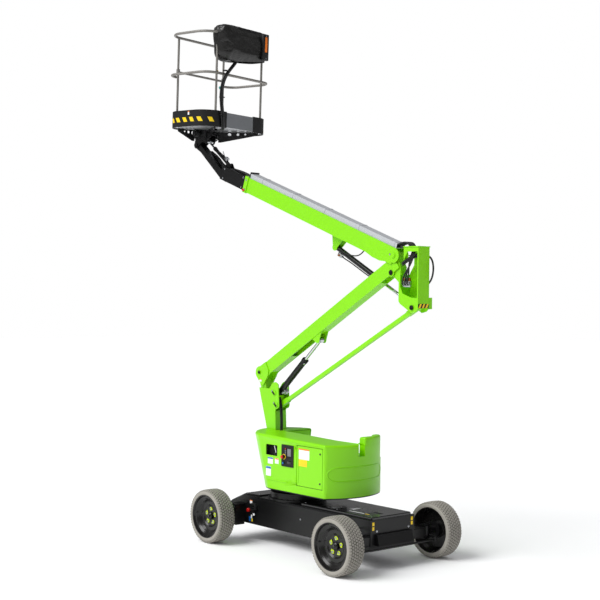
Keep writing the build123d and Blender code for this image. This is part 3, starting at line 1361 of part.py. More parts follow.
rail_x0 = -DECK_SETBACK - RAIL_WIDE / 2
rail_x1 = -DECK_SETBACK + RAIL_WIDE / 2
rail_y = RAIL_LONG / 2
RAIL_CORNER = 220
with BuildPart() as guard_rail:
    # closed top rail
    with BuildLine(platform_plane(DECK_TOP + TOP_RAIL - RAIL_R)) as top_path:
        FilletPolyline(
            (rail_x0, rail_y),
            (rail_x1, rail_y),
            (rail_x1, -rail_y),
            (rail_x0, -rail_y),
            radius=RAIL_CORNER,
            close=True,
        )
    with BuildSketch(Plane(origin=top_path.line @ 0, z_dir=top_path.line % 0)):
        Circle(RAIL_R)
    sweep(path=top_path.line)
    # middle rail, open at the entry
    with BuildLine(platform_plane(DECK_TOP + MID_RAIL - RAIL_R)) as mid_path:
        FilletPolyline(
            (rail_x1, POST_Y + 4),
            (rail_x1, rail_y),
            (rail_x0, rail_y),
            (rail_x0, -rail_y),
            (rail_x1, -rail_y),
            (rail_x1, -POST_Y - 4),
            radius=RAIL_CORNER - 60,
        )
    with BuildSketch(Plane(origin=mid_path.line @ 0, z_dir=mid_path.line % 0)):
        Circle(RAIL_R)
    sweep(path=mid_path.line)
    # four uprights
    for post_x, post_y in CORNERS.values():
        with BuildSketch(platform_plane(deck_bottom)):
            with Locations((post_x, post_y)):
                Circle(POST_R)
        extrude(amount=DECK_THICK + TOP_RAIL - RAIL_R)
guard_rail.part.label = "guard_rail"
export_step(guard_rail.part, "parts/guard_rail.step")

ENTRY_RAISE = 50          # entry bar's height above the middle rail
entry_x = -DECK_SETBACK + POST_X
with BuildPart() as entry_bar:
    for end in (1, -1):
        with BuildSketch(platform_plane(DECK_TOP + MID_RAIL + 12)):
            with Locations((entry_x, end * POST_Y)):
                Circle(POST_R + 9)
                Circle(POST_R + 1, mode=Mode.SUBTRACT)
        extrude(amount=2 * ENTRY_RAISE - 30)
    bar_plane = platform_plane(DECK_TOP + MID_RAIL + ENTRY_RAISE - 4)
    with BuildSketch(
        Plane(
            origin=bar_plane.from_local_coords((entry_x, -POST_Y + POST_R + 4, 0)),
            x_dir=bar_plane.x_dir,
            z_dir=bar_plane.y_dir,
        )
    ):
        Circle(RAIL_R - 2)
    extrude(amount=2 * (POST_Y - POST_R - 4))
entry_bar.part.label = "entry_bar"
export_step(entry_bar.part, "parts/entry_bar.step")

# operator's console on the inner top rail
rail_top = DECK_TOP + TOP_RAIL
with BuildPart() as console:
    with BuildSketch(platform_plane(rail_top + RUN_GAP)):
        with Locations((rail_x0, CONSOLE_Y)):
            RectangleRounded(CONSOLE_WIDE, CONSOLE_LONG, 20)
    extrude(amount=CONSOLE_HIGH)
console.part.label = "console"
export_step(console.part, "parts/console.step")

# soft cover that hangs over the console and the rail, open below
bag_inside = rail_top + RUN_GAP + CONSOLE_HIGH + RUN_GAP
bag_middle = (BAG_FROM + BAG_TO) / 2
bag_long = BAG_TO - BAG_FROM
with BuildPart() as console_cover:
    with BuildSketch(platform_plane(rail_top - BAG_DROP)):
        with Locations((rail_x0, bag_middle)):
            RectangleRounded(BAG_WIDE, bag_long, 60)
    extrude(amount=bag_inside + BAG_WALL - rail_top + BAG_DROP)
    bag_top = rotator_plane().z_dir
    fillet(console_cover.faces().sort_by(Axis(origin=(0, 0, 0), direction=bag_top))[-1].edges(), 20)
    with BuildSketch(platform_plane(rail_top - BAG_DROP)) as bag_room:
        with Locations((rail_x0, bag_middle)):
            RectangleRounded(BAG_WIDE - 2 * BAG_WALL, bag_long - 2 * BAG_WALL, 60 - BAG_WALL)
    extrude(amount=bag_inside - rail_top + BAG_DROP, mode=Mode.SUBTRACT)
    # slots in both ends for the rail
    with BuildSketch(platform_plane(rail_top - BAG_DROP)):
        with Locations((rail_x0 + 8, bag_middle)):
            Rectangle(80, bag_long + 20)
    extrude(amount=BAG_DROP + 12, mode=Mode.SUBTRACT)
console_cover.part.label = "console_cover"
export_step(console_cover.part, "parts/console_cover.step")
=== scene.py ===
import json
import math

import bpy
from mathutils import Matrix, Vector

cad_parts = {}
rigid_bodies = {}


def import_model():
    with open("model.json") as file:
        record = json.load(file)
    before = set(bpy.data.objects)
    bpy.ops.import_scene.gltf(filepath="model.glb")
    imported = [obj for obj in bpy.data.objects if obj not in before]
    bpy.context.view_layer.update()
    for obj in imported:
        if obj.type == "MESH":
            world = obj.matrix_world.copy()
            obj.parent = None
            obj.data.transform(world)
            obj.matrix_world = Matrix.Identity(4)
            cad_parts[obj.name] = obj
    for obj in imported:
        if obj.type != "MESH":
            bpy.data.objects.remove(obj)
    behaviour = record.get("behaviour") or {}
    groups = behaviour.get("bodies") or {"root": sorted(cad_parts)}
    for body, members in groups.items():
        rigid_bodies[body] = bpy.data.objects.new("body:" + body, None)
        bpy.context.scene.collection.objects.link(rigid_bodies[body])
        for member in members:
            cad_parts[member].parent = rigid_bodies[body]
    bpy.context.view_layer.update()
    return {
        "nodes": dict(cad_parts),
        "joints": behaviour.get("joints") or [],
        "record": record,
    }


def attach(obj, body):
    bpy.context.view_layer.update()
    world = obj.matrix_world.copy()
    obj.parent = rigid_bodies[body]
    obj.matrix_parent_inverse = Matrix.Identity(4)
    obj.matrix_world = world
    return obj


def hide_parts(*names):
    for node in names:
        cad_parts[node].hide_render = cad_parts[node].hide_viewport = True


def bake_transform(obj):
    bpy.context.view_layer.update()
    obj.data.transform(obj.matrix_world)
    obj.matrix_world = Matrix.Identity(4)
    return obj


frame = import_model()

MM = 0.001                 # one millimetre, in metres
JOINTS = {j["name"]: j for j in frame["joints"]}


def pin(name):
    """A joint's place at rest."""
    return Vector(JOINTS[name]["pos_m"])


# ------------------------------------------------------------------ colours
def linear(code):
    """sRGB hex code to linear RGBA."""
    parts = [int(code[i:i + 2], 16) / 255 for i in (1, 3, 5)]
    out = [c / 12.92 if c <= 0.04045 else ((c + 0.055) / 1.055) ** 2.4 for c in parts]
    return (*out, 1.0)


LIME = "#82d600"
BLACK_PAINT = "#0d0d0e"
GREY_PAINT = "#74767a"
PLASTIC_BLACK = "#131314"
YELLOW = "#f6cf04"
RUBBER_GREY = "#98948c"
WORN_SHADE = 0.62          # how dark the worn tone is beside the fresh one


# ------------------------------------------------------------------ materials
def node(tree, kind, links=(), **settings):
    """Adds a shader node; links are pairs of an input's name or number and the source socket."""
    made = tree.nodes.new(kind)
    for key, value in settings.items():
        if key in made.inputs:
            made.inputs[key].default_value = value
        else:
            setattr(made, key, value)
    for socket, source in links:
        tree.links.new(source, made.inputs[socket])
    return made


def material(name, colour, roughness, metallic=0.0, ior=1.5, coat=0.0,
             wear=0.0, wear_mm=300, grain=0.0, grain_mm=1.5, rough_vary=0.08):
    """A surface with a fine bump of grain_mm and a slow tone change of wear_mm, in object coordinates."""
    made = bpy.data.materials.new(name)
    made.use_nodes = True
    tree = made.node_tree
    shader = tree.nodes["Principled BSDF"]
    for key, value in (("Metallic", metallic), ("IOR", ior), ("Coat Weight", coat), ("Coat Roughness", 0.12)):
        shader.inputs[key].default_value = value
    place = node(tree, "ShaderNodeTexCoord").outputs["Object"]
    slow = node(tree, "ShaderNodeTexNoise", [("Vector", place)], Scale=1 / (wear_mm * MM), Detail=5.0)
    tone = node(tree, "ShaderNodeMapRange", [("Value", slow.outputs["Fac"])],
                **{"From Min": 0.35, "From Max": 0.75, "To Min": 0.0, "To Max": wear})
    base = linear(colour)
    worn = tuple(c * WORN_SHADE for c in base[:3]) + (1.0,)
    mix = node(tree, "ShaderNodeMix", [("Factor", tone.outputs["Result"])], data_type="RGBA")
    mix.inputs[6].default_value = base
    mix.inputs[7].default_value = worn
    tree.links.new(mix.outputs[2], shader.inputs["Base Color"])
    rough = node(tree, "ShaderNodeMapRange", [("Value", slow.outputs["Fac"])],
                 **{"To Min": max(roughness - rough_vary, 0.02), "To Max": min(roughness + rough_vary, 1.0)})
    tree.links.new(rough.outputs["Result"], shader.inputs["Roughness"])
    if grain:
        fine = node(tree, "ShaderNodeTexNoise", [("Vector", place)], Scale=1 / (grain_mm * MM), Detail=2.0)
        bump = node(tree, "ShaderNodeBump", [("Height", fine.outputs["Fac"])], Strength=grain,
                    Distance=0.2 * MM)
        tree.links.new(bump.outputs["Normal"], shader.inputs["Normal"])
    return made


# powder-coated steel: an even lime skin with a soft sheen and a faint orange peel
lime_paint = material("lime_powder_coat", LIME, 0.38, ior=1.4, coat=0.05, wear=0.06, grain=0.12, grain_mm=1.8)
# moulded glass fibre under lime gel coat: a little glossier than the paint, with slow waves
lime_gelcoat = material("lime_gelcoat", LIME, 0.34, ior=1.42, coat=0.08, wear=0.05, wear_mm=500, grain=0.05,
                        grain_mm=4)
# powder-coated steel, satin black: soft broad highlights and a slightly uneven tone
black_paint = material("black_powder_coat", BLACK_PAINT, 0.36, ior=1.38, wear=0.3, grain=0.15, grain_mm=1.6)
# moulded cover, glossy black: sharp highlights on near black
black_gloss = material("black_gloss_cover", "#101011", 0.2, coat=0.3, wear=0.2, grain=0.04, grain_mm=5)
# pressed steel rim in black enamel: a clear shine along its edges
rim_paint = material("rim_black_enamel", "#141312", 0.26, ior=1.45, wear=0.3, grain=0.08)
# non-marking tyre rubber, moulded: matt pale grey with a fine grain and darker patches
tyre_rubber = material("grey_tyre_rubber", RUBBER_GREY, 0.82, ior=1.52, wear=0.25, wear_mm=90, grain=0.5,
                       grain_mm=1.2)
# the tyre's grooves: the same rubber painted darker, as painted shade down in the grooves, with patches of dirt
groove_shade_rubber = material("grey_rubber_painted_groove_shade", "#57544f", 0.9, ior=1.4, wear=0.3, wear_mm=60, grain=0.5,
                       grain_mm=1.2)
# hydraulic hose, cured rubber: dull black with a fine grain
hose_rubber = material("hose_rubber", "#141415", 0.55, ior=1.52, wear=0.2, grain=0.25, grain_mm=0.8)
# hot-dip galvanised tube: half-dull grey metal in cloudy patches
galvanised = material("galvanised_tube", "#8d8a85", 0.5, metallic=0.5, wear=0.35, wear_mm=40, grain=0.15)
# hard chrome on ram rods, ground: a clean mirror
chrome = material("hard_chrome", "#d4d6d8", 0.1, metallic=1.0, rough_vary=0.03)
# zinc-plated fasteners: pale metal with a soft shine
zinc = material("zinc_plated_steel", "#b9bcc0", 0.35, metallic=1.0, wear=0.3, wear_mm=20)
# bare aluminium, milled blocks and rolled treadplate: bright metal with scattered glints
aluminium = material("bare_aluminium", "#c3c5c8", 0.38, metallic=1.0, wear=0.3, wear_mm=60, grain=0.2)
# plated valve bodies: warm copper glints
copper = material("valve_copper", "#b06a3c", 0.4, metallic=1.0, wear=0.3, wear_mm=25)
# painted steel panel: mid grey, satin
grey_paint = material("grey_panel_paint", GREY_PAINT, 0.45, wear=0.2, grain=0.1)
# painted hose tray: light grey, satin
tray_paint = material("tray_light_grey", "#b3b5b9", 0.4, wear=0.12, grain=0.1)
# moulded polyethylene: flat black with a pebbled grain
black_plastic = material("black_polyethylene", PLASTIC_BLACK, 0.5, ior=1.4, wear=0.2, grain=0.4, grain_mm=1.1)
# cast vinyl tape: strong even yellow, slightly shiny
yellow_vinyl = material("yellow_vinyl", YELLOW, 0.4, wear=0.15, wear_mm=60, grain=0.05)
# polyester label stock, blank: clean white, slightly shiny
label_white = material("label_polyester", "#e9eaea", 0.35, wear=0.05, wear_mm=50)
# the same label stock in orange
label_orange = material("label_orange", "#ef7a1a", 0.35, wear=0.05, wear_mm=50)
# moulded switch plastic: shiny red
red_plastic = material("red_abs", "#c8140f", 0.3, coat=0.2)
# cut tag plastic: smooth blue
blue_plastic = material("blue_tag_plastic", "#1767b8", 0.35)
# moulded latch handle: smooth teal
teal_plastic = material("teal_latch_plastic", "#1b8f88", 0.35)
# moulded nut pointers: bright yellow-green, half matt
pointer_plastic = material("pointer_yellow_green", "#c9e01a", 0.4)
# painted shade for the inside of openings: near black, as hardly any light comes back
painted_shade_black = material("painted_shade_interior", "#060606", 0.9)
# coated woven fabric of the console cover: black with soft creased highlights
cover_fabric = material("coated_black_fabric", "#121110", 0.36, wear=0.35, wear_mm=40, grain=0.6, grain_mm=0.9)
# cast nylon wear pad: waxy orange
wear_nylon = material("wear_pad_nylon", "#d8541c", 0.5, wear=0.2, wear_mm=50)
# sand-cast iron weights: dark, with a coarse skin
cast_iron = material("cast_iron", "#2b2b2c", 0.6, metallic=0.6, grain=0.4)

SLOT_MATERIALS = {
    "boom_green": lime_paint,
    "cover_green": lime_gelcoat,
    "chassis_black": black_paint,
    "tyre": tyre_rubber,
    "rim": rim_paint,
    "chrome": chrome,
    "toe_black": black_plastic,
    "panel_grey": grey_paint,
    "deck": aluminium,
    "panel_black": black_plastic,
    "steel": cast_iron,
    "battery": black_plastic,
    "rail_steel": galvanised,
    "tray_grey": tray_paint,
    "cover_black": black_gloss,
    "cylinder_black": black_paint,
    "soft_cover": cover_fabric,
    "wear_pad": wear_nylon,
}
for part in frame["record"]["subparts"]:
    cad = frame["nodes"][part["node"]]
    cad.data.materials.clear()
    cad.data.materials.append(SLOT_MATERIALS[part["material_slot"]])


# ------------------------------------------------------------------ modelling tools
def only(*objs):
    """Leaves just these objects selected, the first one active."""
    if bpy.context.object and bpy.context.object.mode != "OBJECT":
        bpy.ops.object.mode_set(mode="OBJECT")
    bpy.ops.object.select_all(action="DESELECT")
    for o in objs:
        o.select_set(True)
    bpy.context.view_layer.objects.active = objs[0]


def settle(o, place=None):
    """Puts the piece in its frame and leaves its place in the mesh."""
    bpy.context.view_layer.update()
    only(o)
    if place is not None:
        o.matrix_world = place @ o.matrix_world
    bpy.ops.object.transform_apply(location=True, rotation=True, scale=True)


def modified(o, kind, **settings):
    """Gives the piece a modifier with these settings and applies it."""
    only(o)
    bpy.ops.object.modifier_add(type=kind)
    modifier = o.modifiers[-1]
    for key, value in settings.items():
        setattr(modifier, key, value)
    bpy.ops.object.modifier_apply(modifier=modifier.name)


def normals_out():
    """Turns the faces of the active piece outwards."""
    bpy.ops.object.mode_set(mode="EDIT")
    bpy.ops.mesh.select_all(action="SELECT")
    bpy.ops.mesh.normals_make_consistent(inside=False)
    bpy.ops.object.mode_set(mode="OBJECT")


def cube(size, at=(0, 0, 0)):
    """A plain box, in metres."""
    bpy.ops.mesh.primitive_cube_add(size=1, location=at)
    o = bpy.context.object
    o.scale = size
    bpy.ops.object.transform_apply(location=True, rotation=True, scale=True)
    return o


def finish_piece(o, name, mat, body, smooth=None):
    """Names a piece, gives it its material and shading, and fastens it to its body."""
    o.name = name
    o.data.name = name
    if not o.data.materials:
        o.data.materials.append(mat)
    if smooth:
        only(o)
        bpy.ops.object.shade_smooth_by_angle(angle=math.radians(smooth))
    if body:
        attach(o, body)
    return o


def apply_bevel(o, width, segments=2, angle=30):
    """Rounds the edges that turn by more than the angle; width in metres."""
    modified(o, "BEVEL", width=width, segments=segments, limit_method="ANGLE", angle_limit=math.radians(angle))


def block(name, size, at, mat, body, place=None, bevel=2.0, turn=(0, 0, 0)):
    """A bevelled block; size and bevel in mm, at in metres in its frame, turn in degrees."""
    o = cube([s * MM for s in size])
    apply_bevel(o, bevel * MM)
    o.rotation_euler = [math.radians(t) for t in turn]
    o.location = at
    settle(o, place)
    return finish_piece(o, name, mat, body, 35)


def aim(direction):
    """Rotation that takes +Z to the direction."""
    return Vector(direction).to_track_quat("Z", "Y").to_matrix().to_4x4()


def disc(name, radius, height, at, axis, mat, body, place=None, bevel=1.0, sides=32, inset=0.0, sink=0.0):
    """A turned piece, its end face inset and pushed in or out; mm, at is its base."""
    bpy.ops.mesh.primitive_cylinder_add(vertices=sides, radius=radius * MM, depth=height * MM)
    o = bpy.context.object
    only(o)
    if inset:
        bpy.ops.object.mode_set(mode="EDIT")
        bpy.ops.mesh.select_mode(type="FACE")
        bpy.ops.mesh.select_all(action="DESELECT")
        bpy.ops.object.mode_set(mode="OBJECT")
        for face in o.data.polygons:
            face.select = face.normal.z > 0.9       # the outer end alone
        bpy.ops.object.mode_set(mode="EDIT")
        bpy.ops.mesh.inset(thickness=inset * MM)
        bpy.ops.transform.translate(value=(0, 0, sink * MM))
        bpy.ops.object.mode_set(mode="OBJECT")
    apply_bevel(o, bevel * MM)
    o.matrix_world = Matrix.Translation(at) @ aim(axis) @ Matrix.Translation((0, 0, height * MM / 2))
    settle(o, place)
    return finish_piece(o, name, mat, body, 35)


def joined(name, pieces, body):
    """Joins loose pieces that one fastening holds into one piece."""
    only(*pieces)
    for p in pieces:
        if p.parent:
            world = p.matrix_world.copy()
            p.parent = None
            p.matrix_world = world
    if len(pieces) > 1:
        bpy.ops.object.join()
    o = bpy.context.object
    o.name = name
    o.data.name = name
    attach(o, body)
    return o


# a bolt's sizes, each as a share of its head's width across the flats
HEX_CORNER = 0.577         # radius to the head's corners
HEX_HEIGHT = 0.42
WASHER = 0.82              # radius of the washer


def hex_bolt(at, axis, across=13.0, place=None, mat=None):
    """A bolt head on its washer; at is the seat."""
    mat = mat or zinc
    top = Vector(at) + Vector(axis) * 2 * MM
    head = disc("head", across * HEX_CORNER, across * HEX_HEIGHT, top, axis, mat, None, place,
                bevel=0.8, sides=6)
    washer = disc("washer", across * WASHER, 2, at, axis, mat, None, place, bevel=0.4, sides=20)
    return [head, washer]


def bolts(name, places, axis, body, across=13.0, place=None, mat=None):
    """A group of bolts that one plate carries."""
    parts = []
    for at in places:
        parts += hex_bolt(at, axis, across, place, mat)
    return joined(name, parts, body)


def pin_head(name, side, radius, height, at, mat, body, bevel=2, inset=7):
    """A pin's dished head on one side of the machine; at is the seat on the left side."""
    x, y, z = at
    disc(f"{name}_{side}", radius, height, (x, side * y, z), (0, side, 0), mat, body,
         bevel=bevel, inset=inset, sink=-2)


def hose(name, points, radius, body, place=None, mat=None, smooth_order=4):
    """A round hose along a smooth curve through its control points, in metres."""
    bpy.ops.curve.primitive_nurbs_path_add()
    o = bpy.context.object
    spline = o.data.splines[0]
    missing = len(points) - len(spline.points)
    if missing > 0:
        spline.points.add(missing)
    for dot, at in zip(spline.points, points):
        dot.co = (*(place @ Vector(at) if place is not None else Vector(at)), 1.0)
    spline.use_endpoint_u = True
    spline.order_u = smooth_order
    spline.resolution_u = 8
    o.data.bevel_depth = radius * MM
    o.data.bevel_resolution = 3
    o.data.use_fill_caps = True
    only(o)
    bpy.ops.object.convert(target="MESH")
    return finish_piece(bpy.context.object, name, mat or hose_rubber, body, 50)


STICKER = 0.8              # thickness of labels and tape, mm


def label(name, width, height, at, normal, up, mat, body, place=None):
    """A blank label with rounded corners; at is its middle on the surface."""
    o = cube((width * MM, height * MM, STICKER * MM))
    apply_bevel(o, min(width, height) * 0.08 * MM, 2, 60)
    n = Vector(normal).normalized()
    u = (Vector(up) - Vector(up).dot(n) * n).normalized()
    basis = Matrix((u.cross(n), u, n)).transposed().to_4x4()
    o.matrix_world = Matrix.Translation(Vector(at) + n * STICKER * MM * 0.5) @ basis
    settle(o, place)
    return finish_piece(o, name, mat, body, 40)


def side_labels(body, *rows):
    """Labels on a face to the left; rows of name, width, height, place and material."""
    for name, width, height, at, mat in rows:
        label(name, width, height, at, OUT, UPWARD, mat, body)


def frame_at(origin, x_dir, y_dir=(0, 1, 0)):
    """Frame with local x along x_dir, local y across the machine and local z above."""
    x = Vector(x_dir).normalized()
    y = Vector(y_dir).normalized()
    z = x.cross(y).normalized()
    return Matrix.Translation(origin) @ Matrix((x, y, z)).transposed().to_4x4()


FOOT_PIN = pin("lower_boom_lift")
KNUCKLE_PIN = pin("knuckle_swing")
UPPER_PIN = pin("upper_boom_lift")
BASKET_PIN = pin("platform_level")
SLEW = pin("slew")
HUB = pin("platform_rotate")
UPPER_PITCH = 20.0         # upper boom above level, platform turned on its rotator, platform nose up; degrees
YAW = 10.6
TILT = 1.6
OUT = Vector((0, 1, 0))
UPWARD = (0, 0, 1)
REARWARD = (-1, 0, 0)


def ram_frame(ram):
    """Frame of a ram: local x from its lower pin along its stroke."""
    return frame_at(pin(ram + "_swing"), JOINTS[ram + "_stroke"]["axis"])


def pitched(origin, degrees):
    """Frame of a boom: local x along the pitch, y to the left, z above."""
    a = math.radians(degrees)
    return frame_at(origin, (math.cos(a), 0, math.sin(a)))


def platform_frame():
    """Frame of the platform: origin on the rotator's face, local x towards its front, z up its axis."""
    tilt = math.radians(TILT)
    turn = math.radians(YAW)
    x = Vector((math.cos(turn) * math.cos(tilt), math.sin(turn), math.cos(turn) * math.sin(tilt)))
    z = Vector((-math.sin(tilt), 0, math.cos(tilt)))
    y = z.cross(x)
    return Matrix.Translation(HUB) @ Matrix((x, y, z)).transposed().to_4x4()


UPPER = pitched(UPPER_PIN, UPPER_PITCH)
PLATFORM = platform_frame()


# ------------------------------------------------------------------ more modelling tools
def turned(name, profile, axis, mat):
    """A closed profile of (radius, along) in mm, turned about the axis through the origin."""
    bpy.ops.mesh.primitive_circle_add(vertices=len(profile), radius=1)
    o = bpy.context.object
    for vertex, (radius, along) in zip(o.data.vertices, profile):
        vertex.co = (radius * MM, 0, along * MM)
    modified(o, "SCREW", axis="Z", steps=96, render_steps=96, use_merge_vertices=True)
    normals_out()
    o.matrix_world = aim(axis)
    settle(o)
    return finish_piece(o, name, mat, None, 40)


def ring_of(o, count, centre, axis="Y"):
    """Repeats a piece round an axis through centre."""
    bpy.ops.object.empty_add(location=(0, 0, 0))
    pivot = bpy.context.object
    turn = Matrix.Rotation(math.tau / count, 4, axis)
    pivot.matrix_world = Matrix.Translation(centre) @ turn @ Matrix.Translation(-Vector(centre))
    modified(o, "ARRAY", count=count, use_relative_offset=False, use_object_offset=True, offset_object=pivot)
    bpy.data.objects.remove(pivot)
    return o


def prism(corners, along):
    """A solid between the outline and its copy moved by along."""
    bpy.ops.mesh.primitive_circle_add(vertices=len(corners), radius=1, fill_type="NGON")
    o = bpy.context.object
    for vertex, corner in zip(o.data.vertices, corners):
        vertex.co = corner
    only(o)
    bpy.ops.object.mode_set(mode="EDIT")
    bpy.ops.mesh.select_all(action="SELECT")
    bpy.ops.mesh.extrude_region_move(TRANSFORM_OT_translate={"value": along})
    bpy.ops.mesh.select_all(action="SELECT")
    bpy.ops.mesh.normals_make_consistent(inside=False)
    bpy.ops.object.mode_set(mode="OBJECT")
    return o


def copied(o, name, place, body):
    """A copy with its own mesh, moved by place."""
    only(o)
    bpy.ops.object.duplicate()
    twin = bpy.context.object
    world = twin.matrix_world.copy()
    twin.parent = None
    twin.matrix_world = place @ world
    settle(twin)
    twin.name = name
    twin.data.name = name
    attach(twin, body)
    return twin


def without(source, name, cutters, body):
    """A copy of a CAD solid with the cutters' room taken out."""
    made = copied(source, name, Matrix(), body)
    for cutter in cutters:
        modified(made, "BOOLEAN", operation="DIFFERENCE", object=cutter)
    for cutter in cutters:
        bpy.data.objects.remove(cutter)
    return made


def tag(name, width, height, corner, mat, body, place, point, lean=0.0):
    """A sticker that follows a curved face; point(s, z) gives place and normal for mm along it."""
    s0, z0 = corner
    bpy.ops.mesh.primitive_grid_add(x_subdivisions=6, y_subdivisions=2, size=1)
    o = bpy.context.object
    for vertex in o.data.vertices:
        across = (vertex.co.x + 0.5) * width + lean * (vertex.co.y + 0.5) * height
        at, normal = point(s0 + across, z0 + (vertex.co.y + 0.5) * height)
        vertex.co = at + normal * STICKER / 2 * MM
    modified(o, "SOLIDIFY", thickness=STICKER * MM, offset=0)
    normals_out()
    settle(o, place)
    return finish_piece(o, name, mat, body, 40)


# ------------------------------------------------------------------ wheels
CARCASS = (
    # radius, offset from the tyre's middle, mm
    (250, -101.5), (253, -104.5), (260, -106.8), (265, -105.6), (270, -107.2), (282, -104.5), (292, -97),
    (298, -84), (301, -44), (302, 0), (301, 44), (298, 84), (292, 97), (282, 104.5), (270, 107.2),
    (265, 105.6), (260, 106.8), (253, 104.5), (250, 101.5), (247, 60), (246, 0), (247, -60),
)
TREAD = (
    # offset, radius of the top, turn, tilt, shift round the tyre in pitches
    (-89, 303.5, 24, -24, 0.0), (-60, 308.0, -24, -4, 0.5), (-30, 309.4, 24, -1, 0.0), (0, 309.9, -24, 0, 0.5),
    (30, 309.4, 24, 1, 0.0), (60, 308.0, -24, 4, 0.5), (89, 303.5, 24, 24, 0.0),
)
TREAD_COUNT = 58
TREAD_BLOCK = (25 * MM, 23 * MM, 9 * MM)
# the painted groove shade covers the carcass outside this radius and between these sides
GROOVE_RADIUS = 0.288      # the carcass is darker outside this radius and between these sides
GROOVE_HALF = 0.098


def tread_column(offset, top, turn, tilt, shift):
    """One ring of tread blocks, at the origin, on the Y axis."""
    o = cube(TREAD_BLOCK)
    apply_bevel(o, 1.6 * MM, 1)
    seat = Matrix.Translation((0, offset * MM, (top - 4.6) * MM))
    lean = Matrix.Rotation(math.radians(-tilt), 4, "X") @ Matrix.Rotation(math.radians(turn), 4, "Z")
    start = Matrix.Rotation(shift * math.tau / TREAD_COUNT, 4, "Y")
    o.matrix_world = start @ seat @ lean
    settle(o)
    o.data.materials.append(tyre_rubber)
    return ring_of(o, TREAD_COUNT, (0, 0, 0))


carcass = turned("carcass", CARCASS, OUT, tyre_rubber)
carcass.data.materials.append(groove_shade_rubber)
# painted shade: the carcass between the tread blocks takes the darker groove rubber
for face in carcass.data.polygons:
    outer = math.hypot(face.center.x, face.center.z)
    face.material_index = 1 if outer > GROOVE_RADIUS and abs(face.center.y) < GROOVE_HALF else 0
only(carcass, *[tread_column(*column) for column in TREAD])
bpy.ops.object.join()
tyre_model = bpy.context.object
tyre_model.name = "tyre_model"
bpy.ops.object.shade_smooth_by_angle(angle=math.radians(35))

NUT_CIRCLE = 81            # radius, mm
RIM_PLATE = 16.3           # seat of the nuts and end of the hub, outboard of the tyre's middle, mm
HUB_END = 49.6
CORNERS = (("front_left", 1), ("front_right", -1), ("rear_left", 1), ("rear_right", -1))
for corner, side in CORNERS:
    centre = pin("spin_" + corner)
    body = "wheel_" + corner
    outward = Vector((0, side, 0))
    tyre = copied(tyre_model, "treaded_tyre_" + corner, Matrix.Translation(centre), body)
    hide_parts("tyre_" + corner)
    nuts = []
    pointers = []
    for k in range(5):
        a = math.radians(90 + 72 * k)
        radial = Vector((math.cos(a), 0, math.sin(a)))
        tangent = Vector((-math.sin(a), 0, math.cos(a)))
        seat = centre + outward * RIM_PLATE * MM + radial * NUT_CIRCLE * MM
        nuts += hex_bolt(seat, outward, 24, mat=zinc)
        pointers += [
            disc("collar", 21, 5, seat + outward * 2.2 * MM, outward, pointer_plastic, None, bevel=1.2),
            disc("tip", 17, 5, seat + outward * 2.3 * MM + tangent * 19 * MM, outward, pointer_plastic, None,
                 sides=3)]
    joined("wheel_nuts_" + corner, nuts, body)
    joined("nut_pointers_" + corner, pointers, body)
    disc("hub_plug_" + corner, 17, 9, centre + outward * HUB_END * MM, outward, black_gloss, body,
         bevel=2, inset=5, sink=-3)
    valve = centre + outward * 62 * MM + Vector((0.195, 0, 0.02))
    disc("valve_stem_" + corner, 4, 34, valve, outward, hose_rubber, body)
bpy.data.objects.remove(tyre_model)


# ------------------------------------------------------------------ chassis
FLANK = 0.33               # faces of the chassis and its covers, m
REAR_FACE = -1.15
COVER_TOP = 0.56
FRONT_COVER_TOP = 0.546
AXLE_X = 1.0825            # front axle; the rear one lies as far behind the middle
AXLE_Z = 0.31
label("nose_edge_tape", 540, 26, (1.262, 0, 0.4361), (0.394, 0, 0.919), (0.919, 0, -0.394), yellow_vinyl,
      "chassis")
disc("isolator_ring", 30, 8, (0.9, FLANK, 0.36), OUT, black_plastic, "chassis", bevel=2)
disc("isolator_button", 22, 26, (0.9, FLANK + 0.007, 0.36), OUT, red_plastic, "chassis",
     bevel=5, inset=7, sink=2)
side_labels("chassis", ("charge_label", 44, 30, (0.872, FLANK, 0.452), label_white),
            ("charge_label_top", 44, 10, (0.872, FLANK, 0.473), label_orange))
block("charge_socket", (86, 40, 74), (0.79, FLANK + 0.018, 0.415), black_plastic, "chassis", bevel=6)
disc("charge_socket_cap", 26, 14, (0.79, FLANK + 0.038, 0.415), OUT, black_gloss, "chassis",
     bevel=3, inset=6, sink=-3)
TAGS = (
    # name, place, size in mm, material, lean
    ("blue", (0.862, 0.262), (30, 56), blue_plastic, 3),
    ("white", (0.83, 0.292), (27, 44), label_white, -4),
    ("yellow", (0.822, 0.252), (25, 34), yellow_vinyl, 5),
    ("pale", (0.79, 0.322), (30, 26), label_white, 6),
)
for tag_name, (x, z), (wide, tall), tag_mat, lean in TAGS:
    y = FLANK + 0.016 + 0.003 * wide / 10
    card = block("card", (wide, 1.6, tall), (x, y, z), tag_mat, None, bevel=0.6, turn=(0, lean, 0))
    top = Vector((x, y, z + (tall / 2 - 4) * MM))
    string = hose("string", [top, top + Vector((-0.002, 0.002, 0.02)), top + Vector((-0.01, 0.006, 0.05)),
                             (0.8, FLANK + 0.042, 0.378), (0.795, FLANK + 0.03, 0.385)], 1.2, None)
    joined("hanging_tag_" + tag_name, [card, string], "chassis")
